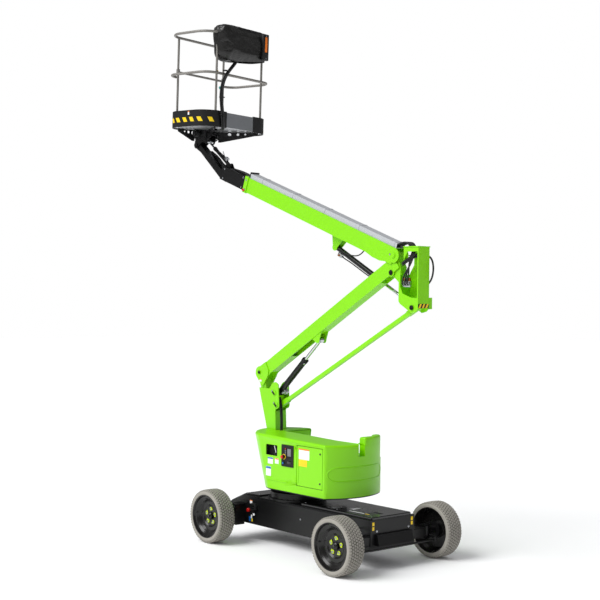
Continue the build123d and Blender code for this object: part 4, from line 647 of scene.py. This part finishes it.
for side in (1, -1):
    out = (0, side, 0)
    bolts(f"flank_bolts_{side}", [(x, side * FLANK, 0.38) for x in (-0.02, -0.62)], out, "chassis", 12)
    bolts(f"gear_bolts_{side}", [(AXLE_X + 0.078 * math.cos(a), side * 0.4552, AXLE_Z + 0.1 * math.sin(a))
                                 for a in (0.9, 2.2, 4.1, 5.4)], out, "chassis", 15)
    # brake and motor plug on the gear housing, with its cable
    hose(f"motor_cable_{side}", [(x, side * y, z) for x, y, z in (
        (0.95, 0.332, 0.44), (0.97, 0.36, 0.452), (1.0, 0.42, 0.455), (1.04, 0.47, 0.44), (1.06, 0.5, 0.405))],
         9, "chassis")
    disc(f"motor_plug_{side}", 13, 18, (1.06, side * 0.5, 0.393), UPWARD, zinc, "chassis", bevel=2, sides=6)
for name, height, rows in (("rear", COVER_TOP, (-1.09, -0.55, -0.03)),
                           ("front", FRONT_COVER_TOP, (0.80, 0.97))):
    bolts("cover_bolts_" + name, [(x, y, height) for x in rows for y in (-0.262, 0.262)], UPWARD, "chassis", 11)
for name, width, height, (x, y), mat in (
    ("label_pale", 70, 115, (-0.44, 0.17), label_white),
    ("label_white", 74, 120, (-0.63, 0.06), label_white),
    ("tape_white", 230, 16, (-0.80, 0.2), label_white),
    ("tape_yellow", 60, 16, (-0.96, 0.2), yellow_vinyl),
    # the grip's hollow is a near black label of painted shade
    ("grip", 120, 40, (-0.99, 0.06), painted_shade_black),
):
    label("cover_" + name, width, height, (x, y, COVER_TOP), UPWARD, OUT, mat, "chassis")
for y in (292, -292):
    for z in (490, 442):
        label(f"rear_reflector_{y}_{z}", 30, 38, (REAR_FACE, y * MM, z * MM), REARWARD, UPWARD, yellow_vinyl,
              "chassis")
bolts("bumper_bolts", [(REAR_FACE, y, 0.41) for y in (-0.24, 0.24)], REARWARD, "chassis", 16)
for side in (1, -1):
    # hoses of the steering and brake, out of the frame's flank beside the axle
    hose(f"axle_hose_{side}", [(x, side * y, z) for x, y, z in (
        (-0.98, 0.332, 0.43), (-0.985, 0.36, 0.432), (-1.0, 0.41, 0.42), (-1.01, 0.46, 0.385),
        (-1.02, 0.5, 0.35))], 7, "chassis")
    bolts(f"yoke_bolts_{side}", [(-AXLE_X + dx, side * 0.531, AXLE_Z + dz) for dx in (-0.03, 0.03)
                                 for dz in (-0.04, 0.04)], (0, side, 0), "chassis", 9)

# bolt circle of the slew ring
SLEW_BOLTS = 28
SLEW_CIRCLE = 0.341
SLEW_SEAT = 0.554
only(*hex_bolt((SLEW.x + SLEW_CIRCLE, SLEW.y, SLEW_SEAT), UPWARD, 13, mat=black_paint))
bpy.ops.object.join()
slew_ring = ring_of(bpy.context.object, SLEW_BOLTS, SLEW, "Z")
finish_piece(slew_ring, "slew_ring_bolts", black_paint, "chassis")


# ------------------------------------------------------------------ turret
SIDE = 0.43                # the hood's flank
PUMP_X = 0.383             # middle of the hand pump's opening and of its side walls
PUMP_Z = 1.128
PUMP_WALL = SIDE - 0.033
# the hand pump's well, lined with painted shade
for name, size, at in (
    ("", (214, 4, 132), (PUMP_X, SIDE - 0.055, PUMP_Z)),
    ("_top", (214, 48, 4), (PUMP_X, PUMP_WALL, PUMP_Z + 0.065)),
    ("_foot", (214, 48, 4), (PUMP_X, PUMP_WALL, PUMP_Z - 0.065)),
    ("_front", (4, 48, 132), (PUMP_X + 0.107, PUMP_WALL, PUMP_Z)),
    ("_rear", (4, 48, 132), (PUMP_X - 0.107, PUMP_WALL, PUMP_Z)),
):
    block("pump_well" + name, size, at, painted_shade_black, "turret", bevel=1)
hose("pump_lever", [(PUMP_X + dx, SIDE + dy, PUMP_Z + dz) for dx, dy, dz in (
    (-0.055, -0.03, -0.05), (-0.05, -0.026, -0.03), (-0.045, -0.022, 0), (-0.038, -0.018, 0.03),
    (-0.032, -0.016, 0.05))], 5, "turret", mat=label_white)
block("pump_body", (70, 30, 40), (PUMP_X - 0.05, SIDE - 0.035, PUMP_Z - 0.045), black_paint, "turret", bevel=3)

PANEL_FACE = SIDE + 0.0084
disc("stop_collar", 31, 3, (0.154, PANEL_FACE, 1.076), OUT, yellow_vinyl, "turret", bevel=1)
disc("stop_button", 20, 22, (0.154, SIDE + 0.0265, 1.076), OUT, red_plastic, "turret", bevel=6, inset=6, sink=1)
block("panel_screen", (62, 3, 84), (0.062, PANEL_FACE + 0.001, 1.13), grey_paint, "turret", bevel=1)
block("panel_keys", (66, 4, 34), (0.062, PANEL_FACE + 0.001, 1.02), black_gloss, "turret", bevel=1.5)
disc("key_switch", 12, 6, (0.156, SIDE + 0.0184, 1.006), OUT, blue_plastic, "turret", bevel=2)
for k, button_mat in enumerate((red_plastic, zinc, zinc, zinc)):
    disc(f"panel_button_{k}", 7, 6, (0.125, PANEL_FACE, 1.17 - 0.02 * k), OUT, button_mat, "turret", bevel=1.5)
for name, (x, z), wide, tall, strip in (
    # name, place, width, height, material of the top strip
    ("upper", (0.402, 1.006), 92, 74, blue_plastic),
    ("middle", (0.288, 1.012), 66, 62, label_orange),
    ("lower", (0.436, 0.882), 90, 108, blue_plastic),
):
    side_labels("turret", ("flank_label_" + name, wide, tall, (x, SIDE, z), label_white),
                ("flank_label_strip_" + name, wide - 2, tall * 0.22,
                 (x, SIDE + 0.0005, z + tall * 0.37 * MM), strip))
block("step_bead", (350, 8, 22), (0.275, SIDE + 0.001, 0.792), lime_gelcoat, "turret", bevel=3.5)
side_labels("door_left", ("door_label_white", 192, 104, (-0.176, SIDE, 1.128), label_white),
            ("door_label_orange", 192, 14, (-0.176, SIDE + 0.0003, 1.189), label_orange),
            ("door_label_yellow", 150, 74, (-0.158, SIDE, 1.036), yellow_vinyl))
for name, side, level, z in (
    # the right door is lower than the left one, and so is its upper latch
    ("left", 1, 840, 0.84), ("left", 1, 1165, 1.165), ("right", -1, 840, 0.84), ("right", -1, 1165, 1.015),
):
    disc(f"door_latch_{name}_{level}", 11, 5, (-0.452, side * SIDE, z), (0, side, 0), black_gloss,
         "door_" + name, bevel=1.5, inset=4, sink=-1.5)

# the hood's rear is an arc about this centre
BOW_R = 0.7304
BOW_X = 0.0704


def bow(degrees, z):
    """A point on the hood's rear face; 0 degrees is its middle."""
    a = math.radians(degrees)
    return Vector((BOW_X - BOW_R * math.cos(a), BOW_R * math.sin(a), z))


# the far half of the hood lies lower, so that the folded booms rest beside the near half
LOW_DECK = 1.086           # height of the lower half
REST_FRONT = 0.66          # ends and near side of the rest
REST_REAR = -0.555
REST_NEAR = 0.040
REST_MIDDLE = (REST_FRONT + REST_REAR) / 2
REST_LENGTH = REST_FRONT - REST_REAR
CUT_HEIGHT = 0.3           # every cutter is this tall, so its middle lies half of it above its foot
rest = cube((REST_LENGTH, 0.5, CUT_HEIGHT), (REST_MIDDLE, REST_NEAR - 0.25, LOW_DECK - 0.008 + CUT_HEIGHT / 2))
slot_room = cube((0.2, REST_NEAR + 0.046, CUT_HEIGHT), (-0.6, (REST_NEAR - 0.046) / 2, 1.13 + CUT_HEIGHT / 2))
hood_cut = without(frame["nodes"]["hood"], "hood_with_boom_rest", [rest, slot_room], "turret")
only(hood_cut)
bpy.ops.object.shade_smooth_by_angle(angle=math.radians(35))
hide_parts("hood")
rest_liner = joined("boom_rest_liner", [block(name, size, at, lime_gelcoat, None) for name, size, at in (
    ("deck", (1068, 466, 8), (0.03, REST_NEAR - 0.233, LOW_DECK - 0.004)),
    ("deck_front", (108, 440, 8), (0.61, REST_NEAR - 0.220, LOW_DECK - 0.004)),
    ("deck_rear", (68, 406, 8), (-0.53, REST_NEAR - 0.203, LOW_DECK - 0.004)),
    ("near_wall", (REST_LENGTH / MM + 100, 8, 196), (REST_MIDDLE - 0.046, REST_NEAR + 0.001, LOW_DECK + 0.09)),
    ("front_wall", (8, 440, 196), (REST_FRONT, REST_NEAR - 0.220, LOW_DECK + 0.098)),
    ("slot_floor", (104, 92, 8), (REST_REAR - 0.048, REST_NEAR - 0.044, 1.128)),
    ("slot_riser", (8, 92, 50), (REST_REAR - 0.002, REST_NEAR - 0.044, 1.107)),
    ("flank_strip", (1040, 8, 66), (0.03, -0.425, LOW_DECK - 0.036)),
)], "turret")
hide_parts("hood_slot")
HORN_TOP = 1.334
HORN_FOOT = LOW_DECK - 0.02
horn = prism([bow(a, HORN_FOOT) for a in (-4.0, -12, -20, -28, -33)] + [
    (-0.52, -0.424, HORN_FOOT), (-0.45, -0.424, HORN_FOOT), (-0.46, -0.34, HORN_FOOT),
    (REST_REAR, -0.25, HORN_FOOT), (REST_REAR, -0.05, HORN_FOOT)], (0, 0, HORN_TOP - HORN_FOOT))
apply_bevel(horn, 0.022, 4, 40)
finish_piece(horn, "hood_rear_horn", lime_gelcoat, "turret", 40)
door_room = cube((0.6, 0.1, CUT_HEIGHT), (-0.27, -0.43, LOW_DECK - 0.045 + CUT_HEIGHT / 2))
door_cut = without(frame["nodes"]["door_right"], "door_right_low", [door_room], "door_right")
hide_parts("door_right")

# bead that frames the recessed band across the hood's rear
BAND_LOW = 0.873
BAND_TOP = 1.024
END_ARC = ((31, 1.0), (33, 0.975), (33.6, 0.948), (33, 0.922), (31, 0.897))
band = [bow(a, BAND_TOP) for a in range(-26, 30, 4)]
band += [bow(a, z) for a, z in END_ARC]
band += [bow(a, BAND_LOW) for a in range(26, -30, -4)]
band += [bow(-a, z) for a, z in reversed(END_ARC)]
band += [bow(-26, BAND_TOP), bow(-22, BAND_TOP)]
hose("rear_band_bead", band, 6, "turret", mat=lime_gelcoat, smooth_order=3)

# ------------------------------------------------------------------ post and its hoses
for k, y in enumerate((0.034, 0.056)):
    hose(f"post_hose_{k}", [(0.672, y, 1.24), (0.668, y, 1.34), (0.67, y, 1.45), (0.68, y, 1.56),
                            (0.694, y, 1.64), (0.712, y + 0.002, 1.69)], 9, "turret")
for name, (x, z) in (("ram", (0.76, 1.739)), ("tie", (0.725, 1.6))):
    for side in (1, -1):
        seat = Vector((x, side * 0.092, z))
        plate = block("plate", (58, 6, 22), seat + Vector((0.012, side * 0.003, 0.0)), black_paint, None,
                      bevel=1.5, turn=(0, -40, 0))
        bolt = hex_bolt(seat + Vector((0.03, side * 0.006, 0.025)), (0, side, 0), 12)
        joined(f"pin_keeper_{name}_{side}", [plate] + bolt, "turret")
for side in (1, -1):
    pin_head("foot_pin_head", side, 20, 12, (FOOT_PIN.x, 0.077, FOOT_PIN.z), black_paint, "turret",
             bevel=3, inset=6)
side_labels("lower_boom", ("foot_label", 40, 24, (1.04, 0.0732, 1.87), label_white),
            ("foot_label_strip", 40, 9, (1.04, 0.0734, 1.884), label_orange))
disc("guide_peg_cap", 13, 16, (0.992, 0.0, 1.4885), (0.953, 0, 0.304), black_plastic, "turret", bevel=3)

# ------------------------------------------------------------------ lower ram
RAM = ram_frame("lower_ram")
block("lower_ram_valve", (66, 52, 46), (0.085, 0.0, 0.056), aluminium, "lower_ram_barrel", RAM, bevel=3)
for k, (x, y, outward) in enumerate(((0.07, 0.027, 1), (0.1, 0.027, 1), (0.085, -0.027, -1))):
    disc(f"lower_ram_fitting_{k}", 11, 20, (x, y, 0.062), (0, outward, 0), zinc, "lower_ram_barrel", RAM,
         bevel=1.5, sides=6)
hose("lower_ram_pipe", [(0.1, 0.044, 0.06), (0.13, 0.052, 0.056), (0.2, 0.048, 0.036), (0.32, 0.046, 0.03),
                        (0.46, 0.046, 0.03), (0.56, 0.044, 0.03), (0.588, 0.034, 0.034)],
     8, "lower_ram_barrel", RAM)
disc("lower_ram_port", 12, 22, (0.59, 0.016, 0.03), (0, 0.6, 0.8), zinc, "lower_ram_barrel", RAM,
     bevel=1.5, sides=6)
link_hose = hose("lower_ram_feed", [(0.712, 0.058, 1.69), (0.72, 0.062, 1.73), (0.735, 0.066, 1.765),
                                    (0.752, 0.064, 1.79), (0.762, 0.056, 1.815), (0.755, 0.05, 1.83)], 9, None)
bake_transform(link_hose)

# ------------------------------------------------------------------ knuckle
KNUCKLE_SIDE = 0.03        # floor of the knuckle's open side
OPENING = ((-1.546, 3.372), (-1.40, 3.372), (-1.335, 3.262), (-1.30, 3.235), (-1.30, 3.0), (-1.335, 2.93),
           (-1.47, 2.885), (-1.546, 2.885))
side_room = prism([(x, 0.05, z) for x, z in OPENING], (0, 0.06, 0))
opened = without(frame["nodes"]["knuckle"], "knuckle_with_open_side", [side_room], "knuckle")
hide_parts("knuckle")
valve_at = Vector((-1.37, KNUCKLE_SIDE, 3.03))
for k, (y, drop) in enumerate(((0.04, 0.0), (0.058, 0.012), (0.05, 0.03))):
    hose(f"knuckle_side_hose_{k}", [
        (-1.30, y, 3.262 - drop), (-1.34, y, 3.285 - drop), (-1.40, y, 3.315 - drop), (-1.46, y, 3.342 - drop),
        (-1.51, y - 0.01, 3.35 - drop), (-1.54, y - 0.03, 3.32 - drop)], 10, "knuckle")
block("valve_manifold", (108, 34, 62), valve_at + Vector((0, 0.017, 0)), aluminium, "knuckle", bevel=3)
valves = [valve_at.x - 0.034, valve_at.x, valve_at.x + 0.034]
for k, (x, coil) in enumerate(zip(valves, (copper, black_plastic, copper))):
    disc(f"valve_coil_{k}", 15, 34, (x, KNUCKLE_SIDE + 0.018, 3.061), UPWARD, coil, "knuckle", bevel=2)
    disc(f"valve_nut_{k}", 7, 8, (x, KNUCKLE_SIDE + 0.018, 3.095), UPWARD, zinc, "knuckle", sides=6)
for k, x in enumerate(valves):
    disc(f"valve_fitting_{k}", 10, 16, (x, KNUCKLE_SIDE + 0.034, 3.02), OUT, zinc, "knuckle", sides=6)
    hose(f"valve_hose_{k}", [(at_x, KNUCKLE_SIDE + y, z) for at_x, y, z in (
        (x, 0.045, 3.02), (x, 0.062, 3.03), (x - 0.004, 0.062, 3.07), (x - 0.02, 0.05, 3.14),
        (-1.40 - 0.02 * k, 0.035, 3.24), (-1.43 - 0.02 * k, 0.03, 3.33), (-1.44 - 0.02 * k, 0.012, 3.39))],
         8, "knuckle")
block("hose_clamp", (96, 30, 12), (-1.458, KNUCKLE_SIDE + 0.03, 3.33), black_plastic, "knuckle", bevel=3)
KNUCKLE_REAR = -1.5602     # rear face and its lower edge
KNUCKLE_FOOT = 2.7785
label("hazard_band", 164, 46, (KNUCKLE_REAR, 0, KNUCKLE_FOOT + 0.023), REARWARD, UPWARD, black_plastic,
      "knuckle")


def knuckle_rear(s, z):
    """Point and normal on the knuckle's rear face, s mm to the right of its middle."""
    return Vector((KNUCKLE_REAR - 0.0008, -s * MM, z * MM)), Vector(REARWARD)


for k in range(3):
    tag(f"hazard_stripe_{k}", 26, 44, (-76 + 52 * k, KNUCKLE_FOOT / MM + 1), yellow_vinyl, "knuckle", None,
        knuckle_rear, lean=0.55)
for k, y in enumerate((-0.048, -0.018, 0.012, 0.042)):
    bundle = hose(f"knuckle_hose_{k}", [
        (-1.150, y, 3.462), (-1.19, y, 3.452), (-1.235, y, 3.452), (-1.29, y, 3.472), (-1.345, y * 0.9, 3.474),
        (-1.38, y * 0.9, 3.455), (-1.395, y * 0.9, 3.425)], 10, None)
    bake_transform(bundle)
hose("rear_loop_hose", [(-1.49, -0.088, 3.34), (-1.53, -0.1, 3.335), (-1.58, -0.104, 3.3), (-1.6, -0.104, 3.22),
                        (-1.598, -0.104, 3.14), (-1.57, -0.1, 3.06), (-1.52, -0.092, 3.02)], 10, "knuckle")
for side in (1, -1):
    pin_head("tie_pin_head", side, 26, 8, (-1.475, 0.09, 2.784), black_paint, "knuckle", inset=6)
    pin_head("upper_pin_head", side, 30, 8, (UPPER_PIN.x, 0.0765, UPPER_PIN.z), lime_paint, "upper_boom",
             inset=8)
    bolts(f"upper_pin_bolt_{side}", [(UPPER_PIN.x + 0.05, side * 0.076, UPPER_PIN.z + 0.012)], (0, side, 0),
          "upper_boom")
    pin_head("lower_pin_head", side, 28, 6, (KNUCKLE_PIN.x, 0.0652, KNUCKLE_PIN.z), black_paint, "knuckle")

# ------------------------------------------------------------------ upper boom
# in the boom's own frame, m
BOOM_TOP = 0.0803
TRAY_TOP = 0.1357
BOOM_END = 2.738
for k, s in enumerate((0.05, 0.64, 1.24, 1.84, 2.44)):
    block(f"tray_strap_{k}", (34, 130, 3), (s, 0, TRAY_TOP + 0.0012), tray_paint, "upper_boom", UPPER, bevel=1)
    for side in (1, -1):
        block(f"tray_clip_{k}_{side}", (34, 3, 56), (s, side * 0.0636, BOOM_TOP + 0.028), tray_paint,
              "upper_boom", UPPER, bevel=1)
COLLAR = BOOM_END - 0.032
for side in (1, -1):
    bolts(f"collar_bolts_{side}", [(COLLAR, side * 0.086, z) for z in (-0.07, 0.045)], (0, side, 0),
          "upper_boom", 15, UPPER)
for name, z, out in (("top", 0.09, UPWARD), ("bottom", -0.112, (0, 0, -1))):
    bolts("collar_bolts_" + name, [(COLLAR, y, z) for y in (-0.05, 0.05)], out, "upper_boom", 15, UPPER)
block("tray_end_bracket", (14, 132, 84), (BOOM_END - 0.062, 0, 0.112), black_paint, "upper_boom", UPPER)
for side in (1, -1):
    block(f"boom_end_lug_{side}", (40, 10, 26), (BOOM_END - 0.02, side * 0.09, -0.085), red_plastic,
          "upper_boom", UPPER)
disc("upper_ram_head_pin", 26, 8, (-0.095, -0.1572, 3.455), (0, -1, 0), black_paint, "upper_boom",
     bevel=2, inset=7, sink=-2)

UPPER_RAM_PIN = pin("upper_ram_swing")
UPPER_RAM = ram_frame("upper_ram")
block("upper_ram_valve", (64, 44, 44), (0.1, 0.0, 0.05), aluminium, "upper_ram_barrel", UPPER_RAM, bevel=3)
disc("upper_ram_fitting", 11, 18, (0.1, 0.022, 0.052), OUT, copper, "upper_ram_barrel", UPPER_RAM,
     bevel=1.5, sides=6)
hose("upper_ram_pipe", [(0.13, 0.0, 0.05), (0.16, 0.006, 0.056), (0.24, 0.012, 0.044), (0.36, 0.014, 0.04),
                        (0.5, 0.014, 0.04), (0.62, 0.012, 0.04), (0.67, 0.006, 0.036)], 7, "upper_ram_barrel",
     UPPER_RAM)
disc("upper_ram_port", 11, 20, (0.668, 0.0, 0.024), UPWARD, zinc, "upper_ram_barrel", UPPER_RAM,
     bevel=1.5, sides=6)
feed_start = UPPER_RAM_PIN + Vector((-0.10, 0.03, -0.02))
feed_end = UPPER @ Vector((0.56, -0.07, -0.1))
middle = (feed_start + feed_end) / 2
feed = hose("upper_ram_feed", [
    feed_start, feed_start + Vector((-0.02, 0.012, -0.035)), middle + Vector((0, 0, -0.10)),
    middle + Vector((-0.12, 0, -0.075)), feed_end + Vector((0.04, 0, -0.03)), feed_end], 7, None)
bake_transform(feed)

# ------------------------------------------------------------------ telescope and levelling ram
NOSE = BOOM_END + 0.022
for side in (1, -1):
    bolts(f"nose_bolts_{side}", [(NOSE + dx, side * 0.066, z) for dx in (0.04, 0.44) for z in (-0.07, 0.05)],
          (0, side, 0), "telescope", 13, UPPER)
    pin_head("hinge_pin_head", side, 30, 8, (BASKET_PIN.x, 0.0684, BASKET_PIN.z), black_paint, "telescope")
ARM = pitched(BASKET_PIN, 41.5)
for k, y in enumerate((-0.03, -0.008, 0.014)):
    boom_points = [UPPER @ Vector((BOOM_END + x, y, z)) for x, z in ((0.03, 0.085), (0.1, 0.094), (0.3, 0.09))]
    arm_points = [ARM @ Vector((x, y + dy, z)) for x, dy, z in (
        (-0.6, 0, 0.10), (-0.42, -0.03, 0.085), (-0.3, -0.05, 0.068), (-0.16, -0.06, 0.03))]
    hose(f"arm_hose_{k}", boom_points + arm_points, 9, "telescope")
LEVEL = ram_frame("level_ram")
block("level_ram_valve", (54, 40, 34), (0.1, 0.0, 0.036), aluminium, "level_ram_barrel", LEVEL, bevel=3)
block("level_ram_lever", (70, 5, 10), (0.2, 0.0, 0.05), zinc, "level_ram_barrel", LEVEL, bevel=1.5,
      turn=(0, -25, 0))
hose("level_ram_pipe", [(0.12, 0.012, 0.04), (0.15, 0.016, 0.044), (0.22, 0.02, 0.034), (0.3, 0.02, 0.03),
                        (0.36, 0.014, 0.03), (0.385, 0.006, 0.026)], 6, "level_ram_barrel", LEVEL)

# ------------------------------------------------------------------ platform
# the toe board's outline, mm
END_HALF = 136             # straight part of its end
END_R = 229
END_Y = 600
SETBACK = -226


def toe_end(s, z, y_side=1):
    """Point and normal on the toe board's curved end, s mm from its middle towards the front."""
    sign = 1 if s >= 0 else -1
    past = abs(s) - END_HALF
    if past <= 0:
        return Vector((SETBACK + s, y_side * END_Y, z)) * MM, Vector((0, y_side, 0))
    a = past / END_R
    normal = Vector((sign * math.sin(a), y_side * math.cos(a), 0))
    centre = Vector((SETBACK + sign * END_HALF, y_side * (END_Y - END_R), z))
    return (centre + normal * END_R) * MM, normal


for k, s in enumerate((200, 90, -25, -140, -262, -405)):
    tag(f"toe_stripe_{k}", 58, 56, (s, 112), yellow_vinyl, "platform", PLATFORM, toe_end, lean=0.55)
tag("toe_label", 24, 34, (-55, 196), label_white, "platform", PLATFORM, toe_end)
tag("toe_label_strip", 24, 12, (-55, 231), label_orange, "platform", PLATFORM, toe_end)
tag("toe_sticker_far", 26, 30, (-330, 80), yellow_vinyl, "platform", PLATFORM, lambda s, z: toe_end(s, z, -1))

for name, x in (("inner", -556), ("outer", 104)):
    for hand, y in (("right", -422), ("left", 422)):
        disc(f"post_foot_{name}_{hand}", 27, 8, (x * MM, y * MM, 0.1052), UPWARD, galvanised, "platform",
             PLATFORM, bevel=2)
block("rail_tag", (34, 12, 34), (-0.548, 0.405, 0.735), yellow_vinyl, "platform", PLATFORM, bevel=2)
block("gate_latch", (46, 30, 40), (0.104, -0.386, 0.69), teal_plastic, "platform", PLATFORM, bevel=4)
disc("gate_latch_knob", 11, 24, (0.104, -0.374, 0.69), OUT, teal_plastic, "platform", PLATFORM, bevel=3)
disc("rotator_motor", 42, 74, (-0.02, 0.15, 0.02), OUT, cast_iron, "platform", PLATFORM,
     bevel=4, inset=10, sink=-4)
disc("rotator_motor_cap", 26, 16, (-0.02, 0.222, 0.02), OUT, black_plastic, "platform", PLATFORM, bevel=4)
ROTATOR_BOLTS = 10
ROTATOR_CIRCLE = 0.132
turns = [k * math.tau / ROTATOR_BOLTS for k in range(ROTATOR_BOLTS)]
bolts("rotator_bolts", [(ROTATOR_CIRCLE * math.cos(a), ROTATOR_CIRCLE * math.sin(a), 0.018) for a in turns],
      UPWARD, "platform", 12, PLATFORM, mat=black_paint)

# control cable from the console down the platform's corner and in under the deck
CABLE_ROUTE = (
    (-0.62, 0.1, 0.92), (-0.628, 0.14, 0.87), (-0.634, 0.24, 0.78), (-0.63, 0.34, 0.66), (-0.618, 0.37, 0.53),
    (-0.612, 0.37, 0.4), (-0.62, 0.35, 0.26), (-0.622, 0.33, 0.1), (-0.6, 0.3, 0.035), (-0.53, 0.27, 0.02),
    (-0.44, 0.25, 0.03), (-0.38, 0.24, 0.06),
)
for k, (dx, dy) in enumerate(((0.0, 0.0), (0.014, 0.016), (-0.012, 0.018), (0.004, 0.034))):
    hose(f"console_cable_{k}", [(x + dx, y + dy, z) for x, y, z in CABLE_ROUTE], 10, "platform", PLATFORM)
for k, at in enumerate(((-0.632, 0.34, 0.75), (-0.61, 0.37, 0.42), (-0.618, 0.37, 0.2))):
    block(f"cable_tie_{k}", (52, 56, 12), at, black_plastic, "platform", PLATFORM, bevel=4)


# ------------------------------------------------------------------ soft cover over the console
def soft_cover():
    """A sewn cover: a swollen, creased shell, open below, narrower at its foot and gathered round its top."""
    tall = 0.455
    o = cube((0.272, 0.815, tall))
    apply_bevel(o, 0.1, 6)
    modified(o, "REMESH", mode="VOXEL", voxel_size=0.0075)
    modified(o, "SIMPLE_DEFORM", deform_method="TAPER", deform_axis="Z", factor=0.1)
    start = [v.co.copy() for v in o.data.vertices]
    bpy.ops.object.modifier_add(type="CLOTH")
    cloth = o.modifiers[-1]
    for key, value in (("quality", 5), ("mass", 0.3), ("use_pressure", True),
                       ("uniform_pressure_force", 2.5), ("tension_stiffness", 12),
                       ("compression_stiffness", 12), ("bending_stiffness", 0.4)):
        setattr(cloth.settings, key, value)
    cloth.settings.effector_weights.gravity = 0
    for step in range(1, 13):
        bpy.context.scene.frame_set(step)
    bpy.ops.object.modifier_apply(modifier=cloth.name)
    bpy.context.scene.frame_set(1)
    farthest = 0.014
    for vertex, was in zip(o.data.vertices, start):
        move = vertex.co - was
        if move.length > farthest:
            vertex.co = was + move * (farthest / move.length)
    gather = o.vertex_groups.new(name="gather")
    for vertex in o.data.vertices:
        band = 1 - abs(vertex.co.z - tall * 0.40) / (tall * 0.17)
        gather.add([vertex.index], max(0.12, min(1.0, band)), "REPLACE")
    for size, strength, kind, group in ((0.19, 0.02, "SOFT_NOISE", ""), (0.06, 0.014, "HARD_NOISE", "gather"),
                                        (0.028, 0.010, "HARD_NOISE", "gather")):
        clouds = bpy.data.textures.new("creases", "CLOUDS")
        clouds.noise_scale = size
        clouds.noise_type = kind
        modified(o, "DISPLACE", texture=clouds, strength=strength, mid_level=0.6, vertex_group=group)
    bpy.ops.object.mode_set(mode="EDIT")
    bpy.ops.mesh.select_all(action="SELECT")
    bpy.ops.mesh.bisect(plane_co=(0, 0, -tall / 2 + 0.03), plane_no=(0, 0.12, 1), clear_inner=True)
    bpy.ops.object.mode_set(mode="OBJECT")
    modified(o, "SOLIDIFY", thickness=0.003, offset=-1)
    o.location = (-0.583, 0.030, 1.098)
    settle(o, PLATFORM)
    finish_piece(o, "console_cover_fabric", cover_fabric, "platform", 60)
    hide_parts("console_cover")


soft_cover()
console_box = block("console_box", (200, 500, 84), (-0.583, -0.06, 1.266), black_plastic, "platform",
                    PLATFORM, bevel=8)
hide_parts("console")
block("document_box", (44, 112, 330), (-0.742, -0.26, 1.12), black_plastic, "platform", PLATFORM, bevel=9)
label("document_box_strip", 40, 190, (-0.7644, -0.26, 1.15), REARWARD, UPWARD, label_orange, "platform",
      PLATFORM)
for k, z in enumerate((1.262, 0.978)):
    disc(f"document_box_stud_{k}", 9, 3, (-0.764, -0.26, z), REARWARD, zinc, "platform", PLATFORM)

# ------------------------------------------------------------------ stage
FLOOR_SIZE = 120
bpy.ops.mesh.primitive_plane_add(size=FLOOR_SIZE)
floor = bpy.context.object
floor.name = "floor"
floor_white = bpy.data.materials.new("floor_white")
floor_white.use_nodes = True
shader = floor_white.node_tree.nodes["Principled BSDF"]
for key, value in (("Base Color", linear("#ffffff")), ("Roughness", 0.85), ("Specular IOR Level", 0.2)):
    shader.inputs[key].default_value = value
floor.data.materials.append(floor_white)
floor.location.z = -0.001           # just clear of the tyres
bpy.ops.object.transform_apply(location=True)

scene = bpy.context.scene
world = scene.world or bpy.data.worlds.new("world")
scene.world = world
world.use_nodes = True
tree = world.node_tree
tree.nodes.clear()
seen = node(tree, "ShaderNodeLightPath")
white = node(tree, "ShaderNodeBackground", Color=(1, 1, 1, 1), Strength=1.0)
# the room is brighter on the near side and dimmer behind
place = node(tree, "ShaderNodeTexCoord").outputs["Generated"]
direction = node(tree, "ShaderNodeSeparateXYZ", [("Vector", place)])
side = node(tree, "ShaderNodeMath", [(0, direction.outputs["Y"])], operation="MULTIPLY_ADD")
side.inputs[1].default_value = 0.3
side.inputs[2].default_value = 0.6
front = node(tree, "ShaderNodeMath", [(0, direction.outputs["X"]), (2, side.outputs[0])],
             operation="MULTIPLY_ADD")
front.inputs[1].default_value = 0.25
soft = node(tree, "ShaderNodeBackground", [("Strength", front.outputs[0])], Color=(0.97, 0.98, 1, 1))
dim = node(tree, "ShaderNodeBackground", Color=(1, 1, 1, 1), Strength=0.22)
reflected = node(tree, "ShaderNodeMixShader", [("Fac", seen.outputs["Is Glossy Ray"]), (1, soft.outputs[0]),
                                               (2, dim.outputs[0])])
mixed = node(tree, "ShaderNodeMixShader", [("Fac", seen.outputs["Is Camera Ray"]), (1, reflected.outputs[0]),
                                           (2, white.outputs[0])])
node(tree, "ShaderNodeOutputWorld", [("Surface", mixed.outputs[0])])

# one broad even light, so the floor stays the same white all over
sun = bpy.data.lights.new("key_sun", "SUN")
sun.angle = math.radians(38)
sun.energy = 2.35
key_sun = bpy.data.objects.new("key_sun", sun)
scene.collection.objects.link(key_sun)
key_sun.rotation_euler = Vector((0.25, 1.0, 1.05)).to_track_quat("Z", "Y").to_euler()

# ------------------------------------------------------------------ camera
# the camera's own right and upward directions, then its lens and place
right = Vector((-0.65403867, -0.75637546, 0.01138363))
above = Vector((0.00945957, 0.0068695, 0.99993166))
camera_data = bpy.data.cameras.new("camera")
camera_data.sensor_width = 36
camera_data.lens = 72.07
camera_data.clip_end = 300
camera = bpy.data.objects.new("camera", camera_data)
scene.collection.objects.link(camera)
camera.matrix_world = Matrix.Translation((-10.21295, 9.18899, 2.88406)) @ Matrix(
    (right, above, right.cross(above))).transposed().to_4x4()
scene.camera = camera
scene.view_settings.view_transform = "Standard"
